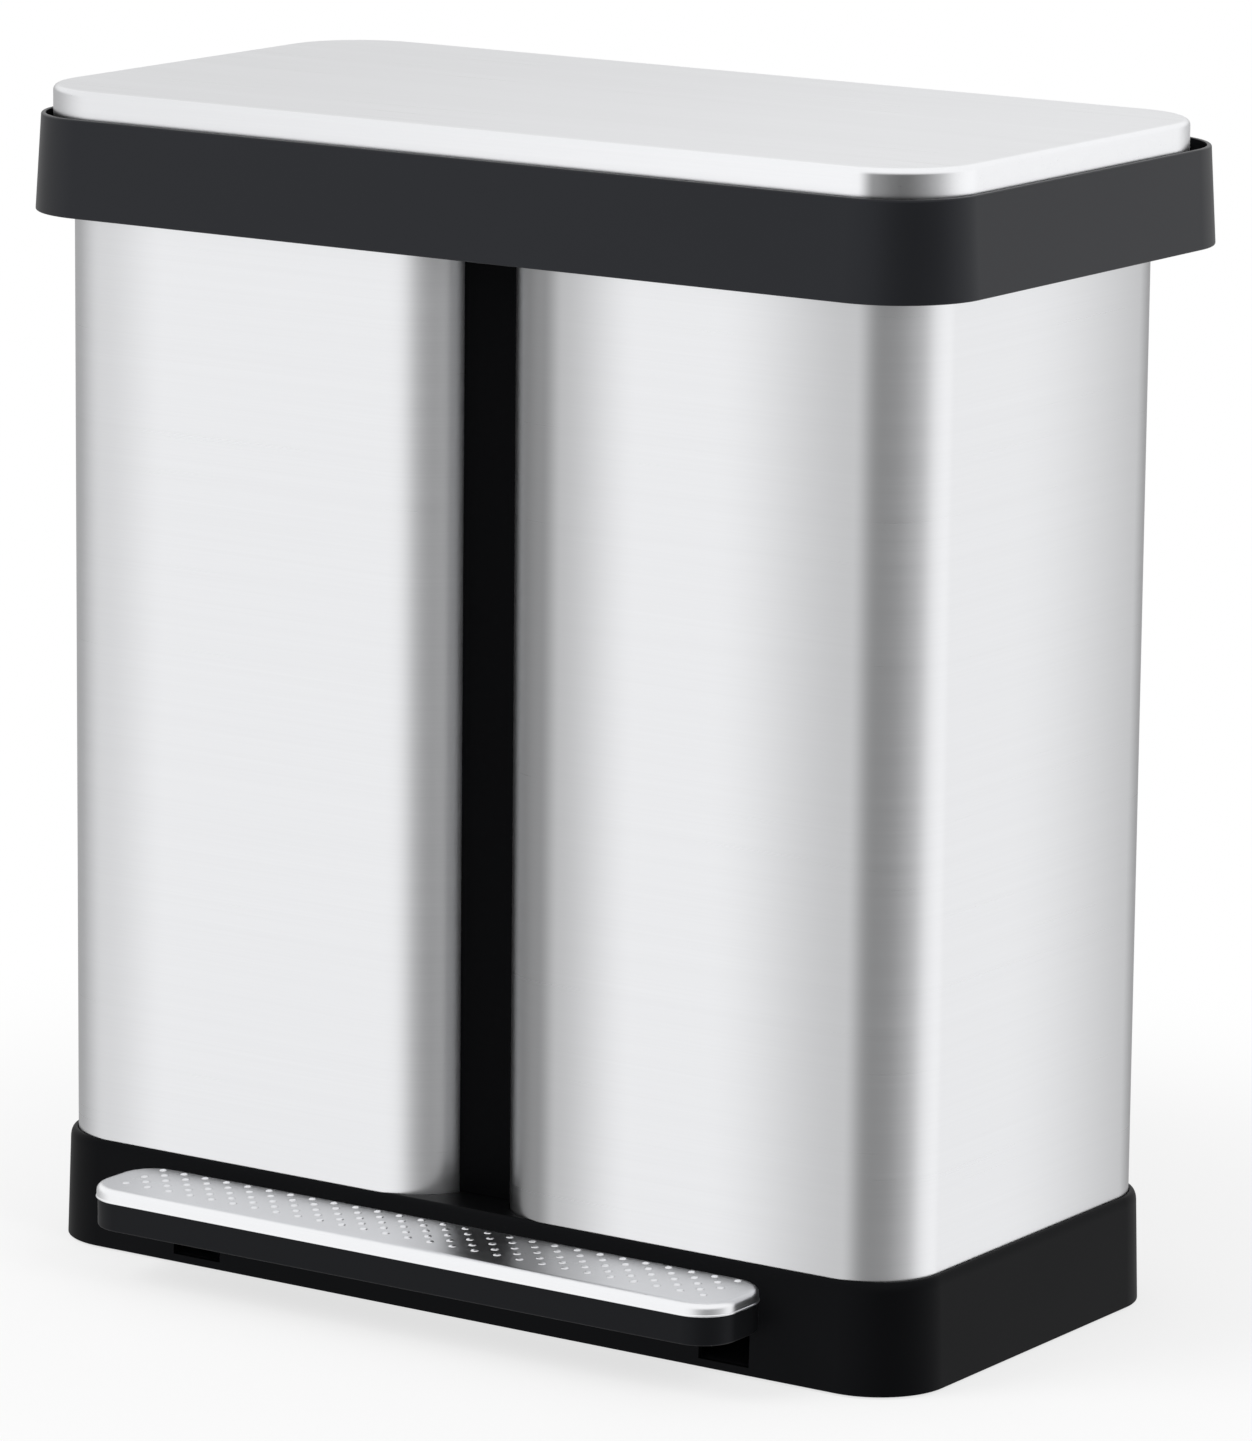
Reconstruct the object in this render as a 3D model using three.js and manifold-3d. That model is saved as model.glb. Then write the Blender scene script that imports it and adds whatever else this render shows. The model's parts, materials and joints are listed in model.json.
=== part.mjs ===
// Double recycling bin: two stainless steel columns side by side on one black base, under one black collar
// and one wide steel lid. A treadle bar along the front lifts the lid through a shaft, a lever and a rod.
// Millimetres. +Z is up and the treadle faces -Y. Inside this file the origin is on the floor under the
// centre of the steel columns. The last lines move it to the centre of the whole outline.

import * as THREE from "three";
import { mergeVertices } from "three/addons/utils/BufferGeometryUtils.js";
import Module from "manifold-3d";

const wasm = await Module();
wasm.setup();

// ---------------------------------------------------------------- driving dimensions

// Gaps
const SEAT_GAP = 0.3; // between pieces that rest on each other or on one body
const RUNNING_GAP = 0.6; // between a sheet or plate and the recess that it stands in

// Steel columns
const SHELL_WIDTH = 265.5; // one column, outside
const SHELL_DEPTH = 265.4;
const SHELL_HEIGHT = 550.4;
const SHELL_RADIUS = 39;
const SHEET = 1; // steel sheet of the columns and of the lid
const CENTRE_GAP = 30; // between the two columns' flat inner sides
const SHEET_END_ANGLE = 22; // degrees of each inner corner that the sheet leaves open

// Base
const BASE_HEIGHT = 62.5;
const BASE_CLEARANCE = 1; // floor to the skirt's lower edge
const BASE_MARGIN_X = 5.6; // skirt's lower edge outside the columns
const BASE_MARGIN_Y = 4.1;
const BASE_DRAFT = 1.9; // how far each side leans in over the full height
const BASE_WALL = 3;
const BASE_LIP = 6; // height of the rounded lip
const DECK_TOP = 55; // floor that the columns and buckets stand on
const DECK_THICKNESS = 3;
const PLATE_BOTTOM = 3;
const PLATE_THICKNESS = 2.5;
const FOOT_RADIUS = 13;
const FOOT_INSET = 48; // foot's centre from the skirt's side and front
const POST_RADIUS = 5;

// Collar
const COLLAR_HEIGHT = 53.7;
const COLLAR_SIDE = 18.85; // lower edge outside the columns
const COLLAR_FRONT = 18.7;
const COLLAR_BACK = 45.3; // the back overhang holds the hinges
const COLLAR_DRAFT = 3.35;
const COLLAR_RADIUS = 51;
const COLLAR_WALL = 2.6;
const COLLAR_RIM_ABOVE_LEDGE = 29.5; // top of the rim over the ledge's underside
const LEDGE_THICKNESS = 3;
const OPENING_MARGIN = 8.75; // ledge's opening inside the column's outer face
const OPENING_RADIUS = 34;
const OPENING_LIP = 2;
const OPENING_LIP_UP = 4;
const OPENING_LIP_DOWN = 1;

// Lid
const LID_SIDE_INSET = 3.5; // lid's skirt inside the collar's top edge
const LID_FRONT_INSET = 4.7;
const LID_BACK_INSET = 15.7;
const LID_ABOVE_RIM = 15;
const LID_SKIRT = 17.5;
const LID_RADIUS = 50;
const LID_EDGE = 3.2; // rounding of the lid's top edge
const LINER_WALL = 3;
const LINER_PANEL = 2.5;
const LINER_PANEL_DROP = 5; // steel top's underside to the liner's panel
const LID_OPENING = 80; // degrees

// Hinges and crank
const HINGE_FROM_LID_BACK = 10.3;
const HINGE_STATION = 150; // each hinge from the centre
const HINGE_LUG_WIDTH = 12;
const HINGE_EAR_WIDTH = 5;
const HINGE_PIN_RADIUS = 2.5;
const HINGE_BOSS_RADIUS = 5;
const CRANK_PLATE = 4;
const CRANK_EYE_WALL = 3; // of the crank plate round its pin
const LINK_PIN_RADIUS = 2.5;

// Lift rod and lever
const ROD_FROM_SHELL_BACK = 10;
const ROD_THICKNESS = 4;
const ROD_WIDTH = 8;
const ROD_LIFT_PLAY = 1; // play over and under each link pin in its slot
const ROD_EYE_WALL = 2.5;
const LEVER_THICKNESS = 4;
const LEVER_PIN_Z = 14;
const LEVER_WAY = 56; // the deck is open this far in front of the rod, for the raised lever

// Treadle
const PEDAL_WIDTH = 418;
const PEDAL_DEPTH = 59;
const PEDAL_TO_BASE = 2.2; // clear of the skirt's lower edge
const PEDAL_TOP = 55.5;
const PEDAL_BODY_BOTTOM = 32;
const PEDAL_STEEL_HEIGHT = 7.5;
const PEDAL_RADIUS = 22;
const PEDAL_EDGE = 4;
const PEDAL_SHEET = 1.2;
const PEDAL_WALL = 3;
const PEDAL_DROP = 28; // travel of its front edge
const ARM_WIDTH = 26;
const ARM_FROM_END = 34; // arm's centre from the treadle's end
const ARM_REACH = 29; // arm's length under the treadle
const SLOT_CLEARANCE = 3; // each side of an arm
const SLOT_BOTTOM = 5.5;
const SLOT_TOP = 34;
const SHAFT_RADIUS = 4;
const SHAFT_Z = 26;
const BOSS_RADIUS = 9;
const BRACKET_WIDTH = 10;
const BRACKET_FROM_ARM = 14;

// Spines that close the gap between the columns
const SPINE_WALL = 2;
const SPINE_RECESS = 0.8; // front spine's face behind the sheet ends
const SPINE_DEPTH = 22;
const SPINE_FLANGE = 3.7;
const REAR_SPINE_INSET = 1.7; // rear spine's face inside the columns' back plane

// Buckets
const BUCKET_BELOW_LEDGE = 10; // rim under the ledge's underside
const BUCKET_RIM_GAP = 2; // rim inside the ledge's opening
const BUCKET_RIM_WIDTH = 6;
const BUCKET_RIM_THICKNESS = 2.5;
const BUCKET_TAPER = 11; // how far each side leans in towards the floor
const BUCKET_WALL = 2;
const BUCKET_RADIUS = 30;
const HANDLE_BAR = 7;
const HANDLE_THICKNESS = 5;
const HANDLE_PIVOT_RADIUS = 2.5;

// Soft-close damper
const DAMPER_RADIUS = 6;
const DAMPER_LENGTH = 120;
const DAMPER_BOTTOM = 330;
const DAMPER_ROD_RADIUS = 1.5;

// Small fasteners and rubber
const SCREW_RADIUS = 2;
const SCREW_HEAD_RADIUS = 3.8;
const SCREW_HEAD_HEIGHT = 1.8;
const BUMPER_RADIUS = 5;

// ---------------------------------------------------------------- places worked out from them

const rad = THREE.MathUtils.degToRad;

const shellX = (SHELL_WIDTH + CENTRE_GAP) / 2; // centre of the right column
const halfPair = SHELL_WIDTH + CENTRE_GAP / 2;
const halfDepth = SHELL_DEPTH / 2;
const shellBottom = DECK_TOP + SEAT_GAP;
const shellTop = shellBottom + SHELL_HEIGHT;
const ledgeBottom = shellTop + SEAT_GAP;
const ledgeTop = ledgeBottom + LEDGE_THICKNESS;

const collarTop = ledgeBottom + COLLAR_RIM_ABOVE_LEDGE;
const collarBottom = collarTop - COLLAR_HEIGHT;
const collarWidth = 2 * (halfPair + COLLAR_SIDE);
const collarDepth = SHELL_DEPTH + COLLAR_FRONT + COLLAR_BACK;
const collarY = (COLLAR_BACK - COLLAR_FRONT) / 2;

const lidTop = collarTop + LID_ABOVE_RIM;
const lidBottom = lidTop - LID_SKIRT;
const lidWidth = collarWidth - 2 * (COLLAR_DRAFT + LID_SIDE_INSET);
const lidFront = -halfDepth - COLLAR_FRONT + COLLAR_DRAFT + LID_FRONT_INSET;
const lidBack = halfDepth + COLLAR_BACK - COLLAR_DRAFT - LID_BACK_INSET;
const lidDepth = lidBack - lidFront;
const lidY = (lidBack + lidFront) / 2;
const panelTop = lidTop - SHEET - LINER_PANEL_DROP;
const panelBottom = panelTop - LINER_PANEL;

const hingeY = lidBack - HINGE_FROM_LID_BACK;
const hingeZ = lidBottom;
const rodY = halfDepth - ROD_FROM_SHELL_BACK;
const crankAngle = rad(LID_OPENING / 2); // the crank swings this far each side of level
const crankRadius = (hingeY - rodY) / ((1 + Math.cos(crankAngle)) / 2);
const lift = 2 * crankRadius * Math.sin(crankAngle);
const crankPinY = hingeY - crankRadius * Math.cos(crankAngle);
const crankPinZ = hingeZ - crankRadius * Math.sin(crankAngle);
const crankShift = (crankRadius * (1 - Math.cos(crankAngle))) / 2; // the pin's travel along its slot, each way

const baseFront = -halfDepth - BASE_MARGIN_Y;
const pedalBack = baseFront - PEDAL_TO_BASE;
const pedalFront = pedalBack - PEDAL_DEPTH;
const pedalY = (pedalFront + pedalBack) / 2;
// The shaft stands where the treadle's drop gives just the lift that the lid's crank needs.
const shaftY = pedalFront + ((rodY - pedalFront) * PEDAL_DROP) / (PEDAL_DROP + lift);
const armX = PEDAL_WIDTH / 2 - ARM_FROM_END;
const bracketX = armX - ARM_WIDTH / 2 - BRACKET_FROM_ARM - BRACKET_WIDTH / 2;
const shaftEnd = armX + ARM_WIDTH / 2 + 4;

const plateTop = PLATE_BOTTOM + PLATE_THICKNESS;
const bucketTop = ledgeBottom - BUCKET_BELOW_LEDGE;
const openingWidth = SHELL_WIDTH - 2 * OPENING_MARGIN;
const openingDepth = SHELL_DEPTH - 2 * OPENING_MARGIN;
const rimWidth = openingWidth - 2 * BUCKET_RIM_GAP;
const rimDepth = openingDepth - 2 * BUCKET_RIM_GAP;
const handleZ = bucketTop + SEAT_GAP + HANDLE_THICKNESS / 2;

// ---------------------------------------------------------------- finishes

const finish = (color, roughness, metalness) =>
  new THREE.MeshStandardMaterial({ color, roughness, metalness });
const brushedSteel = () => finish(0xd4d5d8, 0.3, 1);
const blackPlastic = () => finish(0x1b1c1e, 0.5, 0);
const greyPlastic = () => finish(0x3b3d40, 0.6, 0);
const zincSteel = () => finish(0xa9abad, 0.4, 1);
const blackRubber = () => finish(0x121212, 0.85, 0);

// ---------------------------------------------------------------- shape helpers

const CORNER_SEGMENTS = 3; // an arc gets two facets for each
const ROUND_SEGMENTS = 12; // facets of a round bar, bore or turned piece

// A rectangle with round corners, as a shape on the XY plane.
function roundedRect(width, depth, radius) {
  const x = width / 2 - radius;
  const y = depth / 2 - radius;
  return new THREE.Shape()
    .absarc(x, -y, radius, -Math.PI / 2, 0)
    .absarc(x, y, radius, 0, Math.PI / 2)
    .absarc(-x, y, radius, Math.PI / 2, Math.PI)
    .absarc(-x, -y, radius, Math.PI, 1.5 * Math.PI);
}

// A shape on the XY plane, pulled up from z0 to z1.
function prism(shape, z0, z1, x = 0, y = 0) {
  const options = { depth: z1 - z0, bevelEnabled: false, curveSegments: CORNER_SEGMENTS };
  return new THREE.ExtrudeGeometry(shape, options).translate(x, y, z0);
}

// A rounded rectangle that changes size with height: levels are [z, inset of every side].
function stack(width, depth, radius, levels, x = 0, y = 0) {
  const steps = levels.length - 1;
  const options = { depth: steps, steps, bevelEnabled: false, curveSegments: CORNER_SEGMENTS };
  const shape = roundedRect(width, depth, radius);
  const geometry = new THREE.ExtrudeGeometry(shape, options);
  const position = geometry.getAttribute("position");
  for (let i = 0; i < position.count; i += 1) {
    const [z, inset] = levels[Math.round(position.getZ(i))];
    const wide = position.getX(i) * (1 - (2 * inset) / width);
    const deep = position.getY(i) * (1 - (2 * inset) / depth);
    position.setXYZ(i, wide + x, deep + y, z);
  }
  return geometry;
}

// A shape drawn in Y and Z, as wide as from x0 to x1.
function slab(shape, x0, x1) {
  const options = { depth: x1 - x0, bevelEnabled: false, curveSegments: CORNER_SEGMENTS };
  const geometry = new THREE.ExtrudeGeometry(shape, options);
  geometry.rotateX(Math.PI / 2);
  geometry.rotateZ(Math.PI / 2);
  return geometry.translate(x0, 0, 0);
}

// A box from its lowest to its highest corner.
function block([x0, y0, z0], [x1, y1, z1]) {
  const geometry = new THREE.BoxGeometry(x1 - x0, y1 - y0, z1 - z0);
  return geometry.translate((x0 + x1) / 2, (y0 + y1) / 2, (z0 + z1) / 2);
}

// A round bar along X through (y, z).
function barX(radius, x0, x1, y, z, segments = ROUND_SEGMENTS) {
  const geometry = new THREE.CylinderGeometry(radius, radius, x1 - x0, segments);
  return geometry.rotateZ(Math.PI / 2).translate((x0 + x1) / 2, y, z);
}

// A round bar along Z through (x, y).
function barZ(radius, z0, z1, x, y, segments = ROUND_SEGMENTS) {
  const geometry = new THREE.CylinderGeometry(radius, radius, z1 - z0, segments);
  return geometry.rotateX(Math.PI / 2).translate(x, y, (z0 + z1) / 2);
}

// A turned piece on the Z axis: points are [radius, z] from the bottom to the top.
function turned(points, segments = ROUND_SEGMENTS) {
  const profile = points.map(([r, z]) => new THREE.Vector2(r, z));
  return new THREE.LatheGeometry(profile, segments).rotateX(Math.PI / 2);
}

// A polygon through points, with y and z read as the shape's two axes.
function outline(points) {
  return new THREE.Shape(points.map(([a, b]) => new THREE.Vector2(a, b)));
}

function solid(geometry) {
  const bare = geometry.clone();
  bare.deleteAttribute("normal");
  bare.deleteAttribute("uv");
  const merged = mergeVertices(bare, 1e-4);
  const vertProperties = new Float32Array(merged.getAttribute("position").array);
  const triVerts = new Uint32Array(merged.index.array);
  return new wasm.Manifold(new wasm.Mesh({ numProp: 3, vertProperties, triVerts }));
}

const joined = (...geometries) => geometries.map(solid).reduce((all, one) => all.add(one));

function cut(body, ...tools) {
  return tools.map(solid).reduce((rest, tool) => rest.subtract(tool), body);
}

function geometryOf(body) {
  const mesh = body.getMesh();
  const geometry = new THREE.BufferGeometry();
  geometry.setAttribute("position", new THREE.BufferAttribute(new Float32Array(mesh.vertProperties), 3));
  geometry.setIndex(new THREE.BufferAttribute(new Uint32Array(mesh.triVerts), 1));
  geometry.computeVertexNormals();
  return geometry;
}

const bin = new THREE.Group();

function add(name, shape, material) {
  const mesh = new THREE.Mesh(shape.isBufferGeometry ? shape : geometryOf(shape), material);
  mesh.name = name;
  bin.add(mesh);
  return mesh;
}

const sides = [
  ["left", -1],
  ["right", 1],
];

// Puts x0..x1, given for the right side, on the side of the sign.
const span = (sign, x0, x1) => (sign > 0 ? [x0, x1] : [-x1, -x0]);

// ---------------------------------------------------------------- base

const screwPosts = [
  [-halfPair + 30, -halfDepth + 40],
  [halfPair - 30, -halfDepth + 40],
  [-halfPair + 30, halfDepth - 30],
  [halfPair - 30, halfDepth - 30],
  [-halfPair / 3, halfDepth - 25],
  [halfPair / 3, halfDepth - 25],
];

const baseWidth = 2 * (halfPair + BASE_MARGIN_X);
const baseDepth = 2 * (halfDepth + BASE_MARGIN_Y);
const baseRadius = SHELL_RADIUS + 2;

// The skirt, its rounded lip, the deck with a recess for each column and the posts for the screws.
function baseTray() {
  const lipStart = BASE_HEIGHT - BASE_LIP;
  const levels = [
    [BASE_CLEARANCE, 0],
    [lipStart, BASE_DRAFT * 0.9],
    [BASE_HEIGHT - BASE_LIP * 0.45, BASE_DRAFT * 1.05],
    [BASE_HEIGHT - BASE_LIP * 0.15, BASE_DRAFT * 1.3],
    [BASE_HEIGHT, BASE_DRAFT * 1.7],
  ];
  const skirt = stack(baseWidth, baseDepth, baseRadius, levels);
  const hollow = stack(baseWidth - 2 * BASE_WALL, baseDepth - 2 * BASE_WALL, baseRadius - BASE_WALL, [
    [BASE_CLEARANCE - 1, 0],
    [DECK_TOP - DECK_THICKNESS, BASE_DRAFT],
  ]);
  const recess = roundedRect(
    SHELL_WIDTH + 2 * RUNNING_GAP,
    SHELL_DEPTH + 2 * RUNNING_GAP,
    SHELL_RADIUS + RUNNING_GAP,
  );
  const recesses = sides.map(([, sign]) => prism(recess, DECK_TOP, BASE_HEIGHT + 1, sign * shellX));
  const slots = sides.map(([, sign]) => {
    const [x0, x1] = span(sign, armX - ARM_WIDTH / 2 - SLOT_CLEARANCE, armX + ARM_WIDTH / 2 + SLOT_CLEARANCE);
    return block([x0, baseFront - 1, SLOT_BOTTOM], [x1, baseFront + 2 * BASE_WALL + 1, SLOT_TOP]);
  });
  const leverWay = block([-9, rodY - LEVER_WAY, DECK_TOP - 5], [9, rodY + 8.5, BASE_HEIGHT + 1]);
  const posts = screwPosts.map(([x, y]) => barZ(POST_RADIUS, plateTop + SEAT_GAP, DECK_TOP - 1, x, y));
  const bores = screwPosts.map(([x, y]) => barZ(SCREW_RADIUS + SEAT_GAP, plateTop, plateTop + 14, x, y));
  return cut(cut(solid(skirt), hollow, ...recesses).add(joined(...posts)), ...slots, leverWay, ...bores);
}
add("base_tray", baseTray(), blackPlastic());

const feet = sides.flatMap(([side, sign]) => [
  ["front_" + side, sign * (halfPair - FOOT_INSET), -halfDepth + FOOT_INSET * 0.5],
  ["rear_" + side, sign * (halfPair - FOOT_INSET), halfDepth - FOOT_INSET * 0.5],
]);
const FOOT_STEM = 4;

// Closes the base from below and carries the feet and the shaft's brackets.
function basePlate() {
  const inset = BASE_WALL + SEAT_GAP;
  const plan = roundedRect(baseWidth - 2 * inset, baseDepth - 2 * inset, baseRadius - inset);
  const stemHoles = feet.map(([, x, y]) => barZ(FOOT_STEM + SEAT_GAP, PLATE_BOTTOM - 1, plateTop + 1, x, y));
  const screwHoles = screwPosts.map(([x, y]) =>
    barZ(SCREW_RADIUS + SEAT_GAP, PLATE_BOTTOM - 1, plateTop + 1, x, y),
  );
  return cut(solid(prism(plan, PLATE_BOTTOM, plateTop)), ...stemHoles, ...screwHoles);
}
add("base_plate", basePlate(), blackPlastic());

// A rubber pad with a stem that is pushed through the plate and holds behind it.
for (const [place, x, y] of feet) {
  const foot = turned([
    [0, 0],
    [FOOT_RADIUS - 1, 0],
    [FOOT_RADIUS, 1],
    [FOOT_RADIUS, PLATE_BOTTOM - SEAT_GAP],
    [FOOT_STEM, PLATE_BOTTOM - SEAT_GAP],
    [FOOT_STEM, plateTop + SEAT_GAP],
    [FOOT_STEM + 1, plateTop + SEAT_GAP],
    [FOOT_STEM - 1, plateTop + 4],
    [0, plateTop + 4],
  ]);
  add("foot_" + place, foot, blackRubber()).position.set(x, y, 0);
}

// A pan-head screw that points up from z = 0 at the underside of what it holds.
function screw(length) {
  return turned(
    [
      [0, -SCREW_HEAD_HEIGHT],
      [SCREW_HEAD_RADIUS - 0.8, -SCREW_HEAD_HEIGHT],
      [SCREW_HEAD_RADIUS, -SCREW_HEAD_HEIGHT + 0.8],
      [SCREW_HEAD_RADIUS, -SEAT_GAP],
      [SCREW_RADIUS, -SEAT_GAP],
      [SCREW_RADIUS, length - 1],
      [0, length],
    ],
    12,
  );
}
screwPosts.forEach(([x, y], i) => {
  add("base_screw_" + (i + 1), screw(12), zincSteel()).position.set(x, y, PLATE_BOTTOM);
});

// ---------------------------------------------------------------- steel columns and spines

// Section of one column, with its open side at +X: one sheet from inner corner to inner corner.
function sheetSection() {
  const x = SHELL_WIDTH / 2 - SHELL_RADIUS;
  const y = SHELL_DEPTH / 2 - SHELL_RADIUS;
  const end = rad(SHEET_END_ANGLE);
  const outer = SHELL_RADIUS;
  const inner = SHELL_RADIUS - SHEET;
  const quarter = Math.PI / 2;
  return new THREE.Shape()
    .absarc(x, y, outer, end, quarter)
    .absarc(-x, y, outer, quarter, 2 * quarter)
    .absarc(-x, -y, outer, 2 * quarter, 3 * quarter)
    .absarc(x, -y, outer, 3 * quarter, 4 * quarter - end)
    .absarc(x, -y, inner, 4 * quarter - end, 3 * quarter, true)
    .absarc(-x, -y, inner, 3 * quarter, 2 * quarter, true)
    .absarc(-x, y, inner, 2 * quarter, quarter, true)
    .absarc(x, y, inner, quarter, end, true);
}
for (const [side, sign] of sides) {
  const shell = prism(sheetSection(), shellBottom, shellTop);
  if (sign > 0) shell.rotateZ(Math.PI);
  add("steel_shell_" + side, shell.translate(sign * shellX, 0, 0), brushedSteel());
}

const sheetEndX = CENTRE_GAP / 2 + SHELL_RADIUS * (1 - Math.cos(rad(SHEET_END_ANGLE)));
const sheetEndY = halfDepth - SHELL_RADIUS + SHELL_RADIUS * Math.sin(rad(SHEET_END_ANGLE));
const spineHalf = sheetEndX - RUNNING_GAP;

// A channel that opens towards the middle of the bin, with flanges that reach behind the sheet ends.
function spine(face, depth, towards, top) {
  const near = face;
  const far = face + towards * depth;
  const wall = towards * SPINE_WALL;
  const plan = outline([
    [-spineHalf, near],
    [spineHalf, near],
    [spineHalf, far - wall],
    [spineHalf + SPINE_FLANGE, far - wall],
    [spineHalf + SPINE_FLANGE, far],
    [spineHalf - SPINE_WALL, far],
    [spineHalf - SPINE_WALL, near + wall],
    [-spineHalf + SPINE_WALL, near + wall],
    [-spineHalf + SPINE_WALL, far],
    [-spineHalf - SPINE_FLANGE, far],
    [-spineHalf - SPINE_FLANGE, far - wall],
    [-spineHalf, far - wall],
  ]);
  return prism(plan, BASE_HEIGHT + SEAT_GAP, top);
}
add("front_spine", spine(-sheetEndY + SPINE_RECESS, SPINE_DEPTH, 1, shellTop), blackPlastic());

const rearFace = halfDepth - REAR_SPINE_INSET;
const rearDepth = rearFace - sheetEndY + 10;
const rearTop = Math.min(shellTop, crankPinZ - LINK_PIN_RADIUS - CRANK_EYE_WALL - RUNNING_GAP);
add("rear_spine", spine(rearFace, rearDepth, -1, rearTop), blackPlastic());

// ---------------------------------------------------------------- collar

// An ear: a foot that leans to the front and ends in a round boss on the hinge's axis. Its back stays in
// front of the lid's skirt, which swings down behind it.
function hingeEar(x0, x1) {
  const foot = outline([
    [hingeY - 14, ledgeBottom + 0.5],
    [hingeY + 0.5, ledgeBottom + 0.5],
    [hingeY + 0.5, hingeZ],
    [hingeY - HINGE_BOSS_RADIUS * 0.7, hingeZ + HINGE_BOSS_RADIUS * 0.7],
    [hingeY - HINGE_BOSS_RADIUS, hingeZ],
  ]);
  return joined(slab(foot, x0, x1), barX(HINGE_BOSS_RADIUS, x0, x1, hingeY, hingeZ));
}

const bumperX = halfPair * 0.72;
const bumperY = lidFront + 12;
const linerBottom = lidBottom + 1;
const bumperSeat = linerBottom - 6;

function collar() {
  const levels = [
    [collarBottom, 0],
    [collarTop - 1.5, COLLAR_DRAFT],
    [collarTop - 0.4, COLLAR_DRAFT + 0.5],
    [collarTop, COLLAR_DRAFT + 1.3],
  ];
  const outer = stack(collarWidth, collarDepth, COLLAR_RADIUS, levels, 0, collarY);
  const innerSize = [
    collarWidth - 2 * COLLAR_WALL,
    collarDepth - 2 * COLLAR_WALL,
    COLLAR_RADIUS - COLLAR_WALL,
  ];
  const share = (z) => (COLLAR_DRAFT * (z - collarBottom)) / COLLAR_HEIGHT;
  const lowerLevels = [
    [collarBottom - 1, 0],
    [ledgeBottom, share(ledgeBottom)],
  ];
  const upperLevels = [
    [ledgeTop, share(ledgeTop)],
    [collarTop + 1, COLLAR_DRAFT],
  ];
  const under = stack(...innerSize, lowerLevels, 0, collarY);
  const over = stack(...innerSize, upperLevels, 0, collarY);
  const socketGap = RUNNING_GAP;
  const socketOuter = roundedRect(
    2 * (halfPair + socketGap + OPENING_LIP),
    2 * (halfDepth + socketGap + OPENING_LIP),
    SHELL_RADIUS + socketGap + OPENING_LIP,
  );
  const socketInner = roundedRect(
    2 * (halfPair + socketGap),
    2 * (halfDepth + socketGap),
    SHELL_RADIUS + socketGap,
  );
  const socket = cut(
    solid(prism(socketOuter, ledgeBottom - 12, ledgeBottom + 1)),
    prism(socketInner, ledgeBottom - 13, ledgeBottom),
  );
  const lipOuter = roundedRect(
    openingWidth + 2 * OPENING_LIP,
    openingDepth + 2 * OPENING_LIP,
    OPENING_RADIUS + OPENING_LIP,
  );
  const opening = roundedRect(openingWidth, openingDepth, OPENING_RADIUS);
  const lips = sides.map(([, sign]) =>
    prism(lipOuter, ledgeBottom - OPENING_LIP_DOWN, ledgeTop + OPENING_LIP_UP, sign * shellX),
  );
  const openings = sides.map(([, sign]) =>
    prism(opening, ledgeBottom - OPENING_LIP_DOWN - 1, ledgeTop + OPENING_LIP_UP + 1, sign * shellX),
  );
  const posts = sides.map(([, sign]) =>
    barZ(BUMPER_RADIUS + 2, ledgeTop - 1, bumperSeat, sign * bumperX, bumperY),
  );
  const earX = HINGE_LUG_WIDTH / 2 + SEAT_GAP;
  const ears = sides.flatMap(([, sign]) =>
    [-1, 1].map((ear) => {
      const near = sign * HINGE_STATION + ear * earX;
      const far = near + ear * HINGE_EAR_WIDTH;
      return hingeEar(Math.min(near, far), Math.max(near, far));
    }),
  );
  const pinBores = sides.map(([, sign]) => {
    const reach = earX + HINGE_EAR_WIDTH + 1;
    const middle = sign * HINGE_STATION;
    return barX(HINGE_PIN_RADIUS + SEAT_GAP, middle - reach, middle + reach, hingeY, hingeZ);
  });
  const rodWay = block([-12, rodY - 12, ledgeBottom - 6], [12, hingeY - 9, ledgeTop + 6]);
  let body = cut(solid(outer), under, over).add(socket).add(joined(...lips));
  body = cut(body, ...openings, rodWay).add(joined(...posts));
  for (const ear of ears) body = body.add(ear);
  return cut(body, ...pinBores);
}
add("collar", collar(), blackPlastic());

for (const [side, sign] of sides) {
  const bumper = turned(
    [
      [0, 0],
      [BUMPER_RADIUS, 0],
      [BUMPER_RADIUS, linerBottom - bumperSeat - 2 * SEAT_GAP - 1],
      [BUMPER_RADIUS - 1, linerBottom - bumperSeat - 2 * SEAT_GAP],
      [0, linerBottom - bumperSeat - 2 * SEAT_GAP],
    ],
    12,
  );
  const mesh = add("lid_bumper_" + side, bumper, blackRubber());
  mesh.position.set(sign * bumperX, bumperY, bumperSeat + SEAT_GAP);
}

// ---------------------------------------------------------------- lid

function lidSkin() {
  const outerLevels = [
    [lidBottom, 0],
    [lidTop - LID_EDGE, 0],
    [lidTop - LID_EDGE * 0.29, LID_EDGE * 0.29],
    [lidTop, LID_EDGE],
  ];
  const innerLevels = [
    [lidBottom - 1, 0],
    [lidTop - LID_EDGE, 0],
    [lidTop - SHEET, LID_EDGE * 0.7],
  ];
  const outer = stack(lidWidth, lidDepth, LID_RADIUS, outerLevels, 0, lidY);
  const inner = stack(lidWidth - 2 * SHEET, lidDepth - 2 * SHEET, LID_RADIUS - SHEET, innerLevels, 0, lidY);
  return cut(solid(outer), inner);
}
add("lid_skin", lidSkin(), brushedSteel());

// One side of the crank: from the liner's panel down to the link pin.
function crankPlate(x0, x1) {
  const radius = LINK_PIN_RADIUS + CRANK_EYE_WALL;
  const plate = new THREE.Shape()
    .moveTo(crankPinY - radius, panelBottom + 1)
    .lineTo(crankPinY - radius, crankPinZ)
    .absarc(crankPinY, crankPinZ, radius, Math.PI, 2 * Math.PI)
    .lineTo(hingeY - HINGE_BOSS_RADIUS, panelBottom + 1);
  return slab(plate, x0, x1);
}

const crankX = ROD_THICKNESS / 2 + 1.2;

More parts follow.
